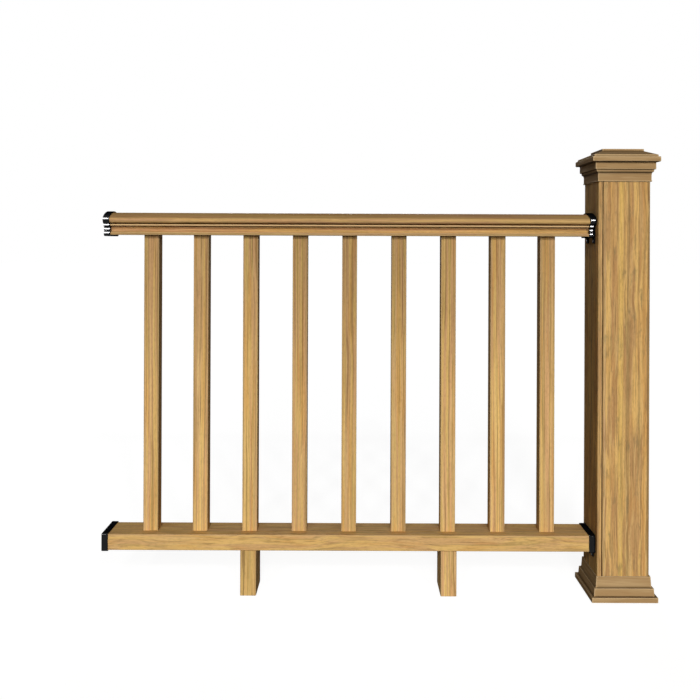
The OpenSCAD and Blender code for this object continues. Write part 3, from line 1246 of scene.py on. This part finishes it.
@dataclass
class PostSkirt(SquareMoulding):
    """The skirt around the sleeve's foot: an upper tier, a flare, a middle tier and a plinth.

    Attributes:
        wall, clear: The upper tier's wall, and its gap to the sleeve.
        draft: How much narrower a tier is at its top.
        upper_foot_z: Where the upper tier's face starts, above the flare.
        middle_out, middle_z: How far the middle tier stands out from the sleeve, and its top.
        plinth_z: The plinth's top.
        ledge: The flat between the middle tier and the flare.
        edge: The radius of the outer edges.
    """

    wall: float = 2.2 * MM
    clear: float = 0.5 * MM
    draft: float = 1.3 * MM
    upper_foot_z: float = 36.5 * MM
    middle_out: float = 10 * MM
    middle_z: float = 31 * MM
    plinth_z: float = 12 * MM
    ledge: float = 1.8 * MM
    edge: float = 0.8 * MM

    def build(self) -> None:
        """Builds the skirt."""
        low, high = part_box("post_skirt")
        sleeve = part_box("post_front_board")[1].x
        bore = sleeve + self.clear
        upper = bore + self.wall
        middle = sleeve + self.middle_out
        middle_top = middle - self.draft
        flare_to = middle_top - self.ledge
        flare = (flare_to - upper - self.draft, self.upper_foot_z - self.middle_z)
        edge = (self.edge, self.edge)
        section = [
            (bore, low.z),
            (high.x - self.edge / 2, low.z),
            (high.x, low.z + self.edge / 2),
            *arc((high.x - self.edge, self.plinth_z - self.edge), edge, 0, 90, 3),
            (middle + self.edge / 2, self.plinth_z),
            (middle, self.plinth_z + self.edge / 2),
            *arc((middle_top - self.edge, self.middle_z - self.edge), edge, 0, 90, 3),
            *arc((flare_to, self.upper_foot_z), flare, 270, 180, 6),
            *arc((upper - self.edge, high.z - self.edge), edge, 0, 90, 3),
            (bore + self.edge / 2, high.z),
            (bore, high.z - self.edge / 2),
        ]
        section = densified(section)
        made = self.skin(section, True, relief(section)).build(
            "post_skirt_body", Grain(Axis.X, Seed.SKIRT, mitred=True)
        )
        self.finish_piece(made, self.finishes.trim, Slot.TRIM, "post_skirt")


@dataclass
class PostCap(SquareMoulding):
    """The stepped cap, from its collar's lip up to the raised plate, and its hollow.

    Attributes:
        clear, wall: The gap to the sleeve, and the collar's wall.
        lip_h, lip_out: The height and reach of the collar's lip.
        band_h: The height of the collar with its lip.
        cove_h, cove_out: The height and reach of the cove over it.
        step: The small step over the cove.
        ovolo_h, ovolo_set: The ovolo's height, and how far its top lies behind the crown's face.
        crown_out, crown_rise: The crown's reach from the sleeve, and its top over the cap's seat.
        slab_t, slab_edge: The slab's thickness and the radius of its edges.
        fillet_set, fillet_h, fillet_edge: The fillet's setback, height and edge radius.
        slope_h: The height of the low slope.
        plate_half: Half of the raised plate's width.
        edge: The radius of the small edges.
        ledge: The width of the seat inside.
        shell: The thickness over the hollow.
        brown: How much browner it is than the skirt.
    """

    clear: float = 0.3 * MM
    wall: float = 1.7 * MM
    lip_h: float = 3.5 * MM
    lip_out: float = 0.8 * MM
    band_h: float = 14 * MM
    cove_h: float = 8 * MM
    cove_out: float = 2.3 * MM
    step: float = 0.6 * MM
    ovolo_h: float = 6.5 * MM
    ovolo_set: float = 3.4 * MM
    crown_out: float = 10 * MM
    crown_rise: float = 3 * MM
    slab_t: float = 12.5 * MM
    slab_edge: float = 2.2 * MM
    fillet_set: float = 4.5 * MM
    fillet_h: float = 5 * MM
    fillet_edge: float = 1.8 * MM
    slope_h: float = 9.8 * MM
    plate_half: float = 49.5 * MM
    edge: float = 0.8 * MM
    ledge: float = 4.5 * MM
    shell: float = 6 * MM
    brown: float = 0.12

    def build(self) -> None:
        """Builds the cap."""
        low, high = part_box("post_cap")
        sleeve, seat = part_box("post_front_board")[1].x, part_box("post_front_board")[1].z
        collar = sleeve + self.clear + self.wall
        crown = sleeve + self.crown_out
        band_top = low.z + self.band_h
        step_z = band_top + self.cove_h
        ovolo_top_z = step_z + self.ovolo_h
        cove = collar + self.cove_out
        ovolo_foot = cove + self.step
        ovolo = (crown - self.ovolo_set - ovolo_foot, self.ovolo_h)
        slab_z = seat + self.crown_rise
        slab_top = slab_z + self.slab_t
        fillet = high.x - self.fillet_set
        fillet_top = slab_top + self.fillet_h
        slope_top = fillet_top + self.slope_h
        bore = sleeve + self.clear
        small = (self.edge, self.edge)
        slab_r = (self.slab_edge, self.slab_edge)
        fillet_r = (self.fillet_edge, self.fillet_edge)
        fillet_x = fillet - self.fillet_edge
        section = [
            *reversed(
                [
                    (bore, low.z),
                    (collar + self.lip_out - self.edge / 2, low.z),
                    (collar + self.lip_out, low.z + self.edge / 2),
                    (collar + self.lip_out, low.z + self.lip_h / 2),
                    (collar, low.z + self.lip_h),
                    *arc((cove, band_top), (self.cove_out, self.cove_h), 180, 90, 8),
                    *arc((ovolo_foot, ovolo_top_z), ovolo, -90, 0, 8),
                    *arc((crown - self.edge, ovolo_top_z + self.edge), small, -90, 0, 3),
                    (crown, slab_z),
                    *arc((high.x - self.slab_edge, slab_z + self.slab_edge), slab_r, -90, 0, 4),
                    *arc((high.x - self.slab_edge, slab_top - self.slab_edge), slab_r, 0, 90, 4),
                    (fillet, slab_top),
                    *arc((fillet_x, fillet_top - self.fillet_edge), fillet_r, 0, 90, 4),
                    (self.plate_half, slope_top),
                    *arc((self.plate_half - self.edge, high.z - self.edge), small, 0, 90, 3),
                ]
            ),
            (bore, seat),
            (bore - self.ledge, seat),
            (bore - self.ledge, slab_top - self.shell / 2),
            (self.plate_half - self.shell, slope_top - self.shell),
        ]
        section = densified(section, closed=False)
        across = [(0.0, high.z), *section, (0.0, slope_top - self.shell)]
        made = self.skin(section, False, relief(across, -1)[1:-1]).build(
            "post_cap_body", Grain(Axis.X, Seed.CAP, mitred=True, brown=self.brown)
        )
        self.finish_piece(made, self.finishes.trim, Slot.TRIM, "post_cap")


@dataclass(frozen=True)
class TopRailSection:
    """The top rail's section: foot, cove, lip, quirk, bead, groove, nosing and dome.

    Heights are measured from the rail's underside. The brackets follow it, grown by their wall.

    Attributes:
        nosing_w, nosing_r: The width over both nosings, and their radius.
        dome_h: The crown's height over the nosings' centres.
        bead_w, bead_t: The width over both beads, and their thickness.
        groove_h, neck_w: The height of the deep groove and the width between its floors.
        quirk_h, quirk_w: The same of the narrow groove.
        lip_t, lip_w: The thickness of the cove's lip and the width over both.
        cove_h, waist_h, cove_w: The cove's height, and the height and width of its waist.
        foot_w, foot_h, foot_edge: The foot's width and height, and the radius of its edges.
        wave_in, wave_steps: How far a bracket's side waves in, and how many flats a dip has.
        crest_lean, crest_rise: How far a crest leans back and rises, as shares of the growth.
        crest_gap, arc_gap: The angles that a crest keeps from its arc's end and from the arc below.
        foot_crest_z, mid_crest_z: The middles of the two crests beside the foot and cove.
        curve_steps, dome_steps: How many flats the curves have.
    """

    nosing_w: float = 89 * MM
    dome_h: float = 18 * MM
    nosing_r: float = 7.5 * MM
    bead_w: float = 73 * MM
    bead_t: float = 4 * MM
    groove_h: float = 2.9 * MM
    neck_w: float = 48 * MM
    quirk_h: float = 3 * MM
    quirk_w: float = 50 * MM
    lip_t: float = 0.6 * MM
    lip_w: float = 57 * MM
    cove_h: float = 11.5 * MM
    waist_h: float = 4.8 * MM
    cove_w: float = 47 * MM
    foot_w: float = 68 * MM
    foot_h: float = 6.5 * MM
    foot_edge: float = 2 * MM
    wave_in: float = 3.6 * MM
    wave_steps: int = 12
    crest_lean: float = 0.17
    crest_rise: float = 0.68
    crest_gap: float = 1.0
    arc_gap: float = 4.0
    foot_crest_z: float = 5.2 * MM
    mid_crest_z: float = 14.5 * MM
    curve_steps: int = 10
    dome_steps: int = 20

    @property
    def quirk_z(self) -> float:
        """Height of the narrow groove's floor."""
        return self.foot_h + self.cove_h + self.lip_t

    @property
    def bead_z(self) -> float:
        """Height of the bead's centre."""
        return self.quirk_z + self.quirk_h + self.bead_t / 2

    @property
    def bead_x(self) -> float:
        """Distance of the bead's centre from the middle."""
        return (self.bead_w - self.bead_t) / 2

    @property
    def nosing_z(self) -> float:
        """Height of the nosing's widest part."""
        return self.bead_z + self.bead_t / 2 + self.groove_h + self.nosing_r

    @property
    def nosing_x(self) -> float:
        """Distance of the nosing's centre from the middle."""
        return self.nosing_w / 2 - self.nosing_r

    def foot(self, grow: float) -> Outline:
        """The rounded bottom edge, grown outwards."""
        edge = self.foot_edge + grow
        return arc((self.foot_w / 2 - self.foot_edge, self.foot_edge), (edge, edge), -90, 0, 6)

    def cove(self) -> Outline:
        """The hollow, which turns out quickly at its foot and slowly up to its lip."""
        waist_z = self.foot_h + self.waist_h
        lower = ((self.foot_w - self.cove_w) / 2, self.waist_h)
        upper = ((self.lip_w - self.cove_w) / 2, self.cove_h - self.waist_h)
        return [
            *arc((self.foot_w / 2, waist_z), lower, 270, 180, self.curve_steps),
            *arc((self.lip_w / 2, waist_z), upper, 180, 90, self.curve_steps)[1:],
        ]

    def crest(self, start: Point, grow: float) -> Outline:
        """A narrow flat along a bracket that leans back and so catches the light.

        Args:
            start: Its lower edge.
            grow: How far the bracket is grown outwards.

        Returns:
            Its edges, each with a second point close by that keeps the flat's shading flat.
        """
        lean, rise = self.crest_lean * grow, self.crest_rise * grow
        return [(start[0] - lean * t, start[1] + rise * t) for t in (0.0, 0.05, 0.95, 1.0)]

    def crested_arc(
        self, centre: Point, radius: float, start: float, end: float, grow: float
    ) -> Outline:
        """An arc with a crest where the crest's slope touches it, or below its end if that is lower.

        Args:
            centre: The arc's centre.
            radius: Its radius.
            start, end: Its angles in degrees.
            grow: How far the bracket is grown outwards.

        Returns:
            The points from start to end.
        """
        lean = math.degrees(math.atan2(self.crest_lean, self.crest_rise))
        chord = math.hypot(self.crest_lean, self.crest_rise) * grow
        turn = 2 * math.degrees(math.asin(chord / 2 / radius))
        top_at = min(lean + turn / 2, end - self.crest_gap)
        high = arc(centre, (radius, radius), top_at, end, self.curve_steps)
        low = arc(centre, (radius, radius), start, top_at - turn - self.arc_gap, self.curve_steps)
        foot = (high[0][0] + self.crest_lean * grow, high[0][1] - self.crest_rise * grow)
        return [*low, *self.crest(foot, grow), *high[1:]]

    def wave(self, grow: float) -> Outline:
        """A bracket's side from its foot to its bead, which waves in beside the cove.

        A crest runs along the foot's upper edge and another just above the wave's middle.

        Args:
            grow: How far it is grown outwards.

        Returns:
            The points, from the bottom up.
        """
        top = self.quirk_z + self.quirk_h / 2
        edge = self.foot_w / 2 + grow
        shares = [i / self.wave_steps for i in range(self.wave_steps + 1)]

        def hollow(start: Point, end: Point) -> Outline:
            """A smooth dip between two points."""
            return [
                (
                    start[0] + (end[0] - start[0]) * t - self.wave_in * math.sin(math.pi * t) ** 2 / 2,
                    start[1] + (end[1] - start[1]) * t,
                )
                for t in shares[1:-1]
            ]

        half_rise = self.crest_rise * grow / 2
        foot = self.crest((edge, self.foot_crest_z - half_rise), grow)
        middle = self.crest((edge - self.wave_in / 3, self.mid_crest_z - half_rise), grow)
        end = (edge, top)
        return [*foot, *hollow(foot[-1], middle[0]), *middle, *hollow(middle[-1], end), end]

    def nosing_and_dome(self, grow: float, start: float) -> Outline:
        """A nosing and the arc over the top, which touch where their radii line up.

        Args:
            grow: How far they are grown outwards.
            start: The angle at which the nosing's arc starts.

        Returns:
            The points, from the nosing up.
        """
        radius = self.nosing_x**2 + self.dome_h**2 - self.nosing_r**2
        radius /= 2 * (self.dome_h - self.nosing_r)
        centre_z = self.nosing_z + self.dome_h - radius
        meet = math.degrees(math.atan2(self.nosing_z - centre_z, self.nosing_x))
        nose = (self.nosing_r + grow,) * 2
        centre = (self.nosing_x, self.nosing_z)
        nosing = arc(centre, nose, start, meet, 2 * self.curve_steps)
        if grow:
            nosing = self.crested_arc(centre, nose[0], start, meet, grow)
        return [*nosing, *arc((0, centre_z), (radius + grow,) * 2, meet, 90, self.dome_steps)[1:]]

    def rail(self) -> Outline:
        """The rail's whole section."""
        bead = (self.bead_t / 2, self.bead_t / 2)
        half = [
            *self.foot(0),
            *self.cove(),
            (self.lip_w / 2, self.quirk_z),
            (self.quirk_w / 2, self.quirk_z),
            (self.quirk_w / 2, self.bead_z - self.bead_t / 2),
            *arc((self.bead_x, self.bead_z), bead, -90, 90, self.curve_steps),
            (self.neck_w / 2, self.bead_z + self.bead_t / 2),
            (self.neck_w / 2, self.nosing_z - self.nosing_r),
            *self.nosing_and_dome(0, -90),
        ]
        return both_sides(half)

    def shroud(self, grow: float) -> Outline:
        """The section of a bracket around the rail, which bridges its grooves.

        Args:
            grow: How far outside the rail it lies.

        Returns:
            The outline, with as many points whatever grow is.
        """
        bead_r, nose_r = self.bead_t / 2 + grow, self.nosing_r + grow
        run, rise = self.nosing_x - self.bead_x, self.nosing_z - self.bead_z
        apart = math.hypot(run, rise)
        lean = math.degrees(math.atan2(rise, run))

        def crossing(own: float, other: float) -> float:
            """The angle at one circle's centre between the other's centre and where they cross."""
            return math.degrees(math.acos(min(1, (own**2 + apart**2 - other**2) / (2 * own * apart))))

        drop = (self.bead_t + self.quirk_h) / 2
        bead_from = -math.degrees(math.asin(min(1, drop / bead_r)))
        bead_to = lean - crossing(bead_r, nose_r)
        nose_from = lean - 180 + crossing(nose_r, bead_r)
        half = [
            *self.foot(grow),
            *self.wave(grow),
            *self.crested_arc((self.bead_x, self.bead_z), bead_r, bead_from, bead_to, grow),
            *self.nosing_and_dome(grow, nose_from)[1:],
        ]
        return both_sides(half)


@dataclass
class Rails(SubAssembly):
    """The top and bottom rails.

    Attributes:
        section: The top rail's section.
        bottom_edge: The radius of the bottom rail's long edges.
        ease: The chamfer around the bottom rail's ends.
        fine_ease: The chamfer around the top rail's ends, finer than its lips.
    """

    section: TopRailSection = field(default_factory=TopRailSection)
    bottom_edge: float = 2.5 * MM
    ease: float = 0.5 * MM
    fine_ease: float = 0.15 * MM

    def build(self) -> None:
        """Builds both rails."""
        looks = self.finishes
        grain = Grain(Axis.X, Seed.TOP_RAIL)
        outline, foot = self.section.rail(), (0.0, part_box("top_rail")[0].z)
        self.straight_board("top_rail", outline, self.fine_ease, foot, grain, looks.top_board)
        low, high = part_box("bottom_rail")
        grain = Grain(Axis.X, Seed.BOTTOM_RAIL)
        outline = rounded_rectangle(high.y - low.y, high.z - low.z, self.bottom_edge)
        middle = (0.0, (low.z + high.z) / 2)
        self.straight_board("bottom_rail", outline, self.ease, middle, grain, looks.low_board)


@dataclass
class Uprights(SubAssembly):
    """The balusters and the foot blocks.

    Attributes:
        edge: The radius of a baluster's long edges.
        block_edge: The radius of a foot block's upright edges.
        ease: The chamfer around the ends.
        brown, brown_swing, brown_every: How much browner than the material the balusters are on
            average, how much that varies, and over how many of them.
        block_brown: How much browner the left block is than the right one.
    """

    edge: float = 1.8 * MM
    block_edge: float = 2 * MM
    ease: float = 0.5 * MM
    brown: float = 0.2
    brown_swing: float = 0.15
    brown_every: int = 6
    block_brown: float = 0.3

    def upright(self, node: str, radius: float, grain: Grain) -> None:
        """Builds one upright piece in its CAD node's place.

        Args:
            node: The CAD node.
            radius: The radius of its upright edges.
            grain: How its streaks lie.
        """
        low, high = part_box(node)
        outline = rounded_rectangle(high.x - low.x, high.y - low.y, radius)
        centre = ((low.x + high.x) / 2, (low.y + high.y) / 2)
        self.straight_board(node, outline, self.ease, centre, grain, self.finishes.board)

    def build(self, nodes: list[str]) -> None:
        """Builds every baluster and block that the frame has.

        Args:
            nodes: The frame's node names.
        """
        balusters = sorted(n for n in nodes if n.startswith("baluster_"))
        for i, node in enumerate(balusters):
            brown = self.brown - self.brown_swing * math.cos(math.tau / self.brown_every * (i - 1))
            grain = Grain(Axis.Z, Seed.BALUSTER + UPRIGHTS_APART * i, brown=brown)
            self.upright(node, self.edge, grain)
        for i, node in enumerate(("foot_block_left", "foot_block_right")):
            brown = self.block_brown * (1 - i)
            grain = Grain(Axis.Z, Seed.BLOCK + UPRIGHTS_APART * i, brown=brown)
            self.upright(node, self.block_edge, grain)


@dataclass
class Brackets(SubAssembly):
    """The sockets on the rails' ends, their screw tabs and the screws.

    Attributes:
        section: The top rail's section.
        rail_edge: The radius of the bottom rail's long edges.
        clear: The gap between a rail and its socket.
        shroud_wall: The wall of the sockets on the top rail.
        box_wall: The wall of the sockets on the bottom rail.
        plate_t: The thickness of the plate at a socket's closed end.
        rim: The radius of the rim's outer edge.
        tab_w, tab_drop, tab_spacing: The width, reach and distance of the two screw tabs.
        tab_corner: The radius of a tab's corners.
        hole_r: The radius of a tab's hole.
    """

    section: TopRailSection = field(default_factory=TopRailSection)
    rail_edge: float = 2.5 * MM
    clear: float = 0.3 * MM
    shroud_wall: float = 3 * MM
    box_wall: float = 2 * MM
    plate_t: float = 3 * MM
    rim: float = 0.9 * MM
    tab_w: float = 16 * MM
    tab_drop: float = 13 * MM
    tab_spacing: float = 54 * MM
    tab_corner: float = 3 * MM
    hole_r: float = 2.3 * MM

    def socket(
        self, outline: Callable[[float], Outline], wall: float, faces: Point, centre: Point
    ) -> list[np.ndarray]:
        """The rings of a socket, from its closed face round the rim to the plate inside.

        Args:
            outline: Gives the section grown by a distance.
            wall: The socket's wall.
            faces: Where on X its closed face and its rim are.
            centre: Where the section's origin goes.

        Returns:
            The rings to skin.
        """
        closed, rim = faces
        inward = 1 if rim > closed else -1
        outer = self.clear + wall
        lip = min(self.rim, wall / 3)
        steps = [
            (closed, outer - lip / 2),
            (closed + inward * lip / 2, outer),
            (rim - inward * 2 * lip, outer),
            *[
                (rim - inward * lip * (1 - math.sin(t)), outer - lip * (1 - math.cos(t)))
                for t in (0, math.pi / 6, math.pi / 3, math.pi / 2)
            ],
            (rim, self.clear + lip / 2),
            (rim - inward * lip / 2, self.clear),
            (closed + inward * self.plate_t, self.clear),
        ]
        return [ring(outline(grow), Axis.X, x, centre) for x, grow in steps]

    def drilled_tab(self, face: float, inward: int, y: float, underside: float) -> list[np.ndarray]:
        """The rings of a flat tab with a hole, which reaches down from a socket's underside.

        Args:
            face: Where on X the tab's back is.
            inward: The way from its back to its front along X.
            y: Its middle.
            underside: The height of the socket's underside.

        Returns:
            The rings to skin, which close on themselves.
        """
        root = self.plate_t / 2
        height = self.tab_drop + root
        outer = rounded_rectangle(self.tab_w, height, self.tab_corner, 6)
        drop = (height / 2 - root) - self.tab_drop / 2
        hole = [
            (self.hole_r * math.cos(a), self.hole_r * math.sin(a) + drop)
            for a in (math.atan2(v - drop, u) for u, v in outer)
        ]
        centre = (y, underside + root - height / 2)
        soft = 0.3 * MM
        front = face + inward * self.plate_t
        return [
            ring(hole, Axis.X, face, centre),
            ring(outer, Axis.X, face, centre),
            ring(outer, Axis.X, front - inward * soft, centre),
            ring(inset(outer, soft), Axis.X, front, centre),
            ring(hole, Axis.X, front, centre),
        ]

    def screw(self, name: str, place: Vector, inward: int) -> None:
        """Builds a pan-head screw with a cross recess, lying on a tab.

        Args:
            name: The screw's name.
            place: The middle of the head's seat.
            inward: The way that the head faces along X.
        """
        head_r, head_h = 4.1 * MM, 2.3 * MM
        arm, arm_angle, hub_r = 2.1 * MM, 0.26, 0.825 * MM
        recess_top, recess_floor, recess_taper = 0.93 * head_h, 0.35 * head_h, 0.6
        shank, shank_r = self.plate_t * 0.9, self.hole_r * 0.85
        profile = [(-shank, shank_r), (0.0, shank_r), (0.0, head_r * 0.96)]
        profile += [(x, r) for r, x in arc((0, 0), (head_r, head_h), 12, 62, 8)]
        quarter, count = math.pi / 2, 32
        around = [math.tau * i / count for i in range(count)]
        rings = [[(r * math.cos(a), r * math.sin(a)) for a in around] for _, r in profile]
        levels = [place.x + inward * x for x, _ in profile]
        cross = []
        for a in around:
            reach = arm if min(a % quarter, quarter - a % quarter) < arm_angle else hub_r
            cross.append((reach * math.cos(a), reach * math.sin(a)))
        rings += [cross, [(u * recess_taper, v * recess_taper) for u, v in cross]]
        levels += [place.x + inward * recess_top, place.x + inward * recess_floor]
        centre = (place.y, place.z)
        skin = Skin().add([ring(r, Axis.X, x, centre) for r, x in zip(rings, levels)])
        made = skin.build(name, Grain(Axis.X, Seed.PLAIN))
        self.finish_piece(made, self.finishes.steel, None)

    def build(self) -> None:
        """Builds the four sockets, with tabs and screws at the post."""
        rail_low, rail_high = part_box("bottom_rail")
        width, height = rail_high.y - rail_low.y, rail_high.z - rail_low.z

        def box_outline(grow: float) -> Outline:
            """The bottom rail's section, grown outwards."""
            return rounded_rectangle(width + 2 * grow, height + 2 * grow, self.rail_edge + grow / 2)

        levels = {
            "top": (self.section.shroud, self.shroud_wall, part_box("top_rail")[0].z, 0.0),
            "bottom": (box_outline, self.box_wall, rail_low.z, height / 2),
        }
        for level, (outline, wall, underside, lift) in levels.items():
            for end in End:
                node = f"{level}_bracket_{end.value}"
                low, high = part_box(node)
                faces = (high.x, low.x) if end is End.POST else (low.x, high.x)
                skin = Skin().add(self.socket(outline, wall, faces, (0.0, underside + lift)))
                if end is End.POST:
                    foot = underside - self.clear - wall
                    for y in (-self.tab_spacing / 2, self.tab_spacing / 2):
                        skin.add(self.drilled_tab(high.x, -1, y, foot), looped=True)
                        face = Vector((high.x - self.plate_t, y, foot - self.tab_drop / 2))
                        self.screw(f"{level}_screw_{'front' if y < 0 else 'back'}", face, -1)
                made = skin.build(f"{node}_body", Grain(Axis.X, Seed.PLAIN))
                self.finish_piece(made, self.finishes.plastic, Slot.PLASTIC, node)


@dataclass
class Studio:
    """The floor, world, lamps and camera.

    Attributes:
        ambient: How bright the world is for what it lights.
        key_strength: The strength of each lamp in the tall strip in front.
        key_tilts: How high the strip's lamps stand, in degrees.
        key_size: How wide each of them looks, in degrees.
        glint_strength: The strength of the two small lamps that glint in the brackets.
        glint_turns, glint_tilt, glint_size: How far to each side and how high they stand, and how
            wide they look, in degrees.
        back_strength, back_tilt, back_size: The same of the one lamp behind.
        floor_grey: The floor's own colour.
        glow: What lifts it to white where no shadow falls.
        floor_side, floor_drop: The floor's size, and how far it lies below the part.
        frame_px: The photograph's width and height.
        focal_px: The camera's focal length, in the photograph's pixels.
        aim_px: The pixel that the level camera points at.
        roll: How far the camera leans, in degrees.
        eye: Where it stands.
    """

    ambient: float = 0.012
    key_strength: float = 0.54
    key_tilts: tuple[float, ...] = (8.0, 16.0, 24.0, 32.0)
    key_size: float = 9.0
    glint_strength: float = 0.43
    glint_turns: tuple[float, float] = (18.8, -17.9)
    glint_tilt: float = 27.9
    glint_size: float = 2.6
    back_strength: float = 1.2
    back_tilt: float = 10.0
    back_size: float = 20.0
    floor_grey: float = 0.22
    glow: float = 0.91
    floor_side: float = 60.0
    floor_drop: float = 0.2 * MM
    frame_px: float = 700.0
    focal_px: float = 840.0
    aim_px: Point = (356.0, 243.0)
    roll: float = 0.227
    eye: tuple[float, float, float] = (-0.6336, -2.0437, 0.8405)

    def floor(self) -> None:
        """Builds the pale floor, which keeps the object's shadow."""
        half = self.floor_side / 2
        mesh = bpy.data.meshes.new("floor")
        plan = ((-half, -half), (half, -half), (half, half), (-half, half))
        corners = [(x, y, -self.floor_drop) for x, y in plan]
        mesh.from_pydata(corners, [], [(0, 1, 2, 3)])
        made = bpy.data.objects.new("floor", mesh)
        bpy.context.scene.collection.objects.link(made)
        material = bpy.data.materials.new("pale_floor")
        sheet = Sheet(material)
        pale = sheet.add("ShaderNodeBsdfDiffuse", {}, {"Color": (self.floor_grey,) * 3})
        glow = sheet.add("ShaderNodeEmission", {}, {"Color": (1.0, 1.0, 1.0), "Strength": self.glow})
        lifted = sheet.add("ShaderNodeAddShader", {}, {0: pale, 1: glow})
        sockets = {0: sheet.seen_directly(), 1: pale, 2: lifted}
        sheet.surface(sheet.add("ShaderNodeMixShader", {}, sockets))
        mesh.materials.append(material)

    def world(self) -> None:
        """Makes a world that is white to look at and dim as a light."""
        world = bpy.data.worlds.new("studio")
        bpy.context.scene.world = world
        sheet = Sheet(world)
        strength = self.ambient + sheet.seen_directly() * (1 - self.ambient)
        white = (1.0, 1.0, 1.0)
        sheet.surface(sheet.add("ShaderNodeBackground", {}, {"Color": white, "Strength": strength}))

    def lamp(self, name: str, azimuth: float, tilt: float, size: float, strength: float) -> None:
        """Adds a broad far lamp.

        Args:
            name: Its name.
            azimuth: 0 shines along +Y, and 180 along -Y.
            tilt: How high it stands above the horizon, in degrees.
            size: How wide it looks, in degrees.
            strength: Its strength.
        """
        light = bpy.data.lights.new(name, "SUN")
        light.energy = strength
        light.angle = math.radians(size)
        made = bpy.data.objects.new(name, light)
        made.rotation_euler = (math.radians(90 - tilt), 0.0, -math.radians(azimuth))
        bpy.context.scene.collection.objects.link(made)

    def camera(self) -> None:
        """Places the camera at the photograph's viewpoint."""
        data = bpy.data.cameras.new("camera")
        data.sensor_width = 36.0
        data.lens = self.focal_px / self.frame_px * data.sensor_width
        data.shift_x = (self.frame_px / 2 - self.aim_px[0]) / self.frame_px
        data.shift_y = (self.aim_px[1] - self.frame_px / 2) / self.frame_px
        made = bpy.data.objects.new("camera", data)
        made.location = self.eye
        made.rotation_euler = (math.radians(90), -math.radians(self.roll), 0.0)
        bpy.context.scene.collection.objects.link(made)
        bpy.context.scene.camera = made

    def build(self) -> None:
        """Sets up the studio."""
        self.camera()
        self.floor()
        self.world()
        for i, tilt in enumerate(self.key_tilts):
            self.lamp(f"strip_{i}", 0.0, tilt, self.key_size, self.key_strength)
        for side, turn in zip(("left", "right"), self.glint_turns):
            self.lamp(f"{side}_glint", turn, self.glint_tilt, self.glint_size, self.glint_strength)
        self.lamp("back_lamp", 180.0, self.back_tilt, self.back_size, self.back_strength)
        bpy.context.scene.view_settings.view_transform = "Standard"
        log.info("studio ready")


def main() -> None:
    """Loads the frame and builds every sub-assembly."""
    logging.basicConfig(level=logging.INFO, format="%(name)s: %(message)s")
    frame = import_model()
    Studio().build()
    finishes = Finishes.make()
    PostSleeve(finishes).build()
    PostSkirt(finishes).build()
    PostCap(finishes).build()
    Rails(finishes).build()
    Uprights(finishes).build(list(frame["nodes"]))
    Brackets(finishes).build()


if __name__ == "__main__":
    main()
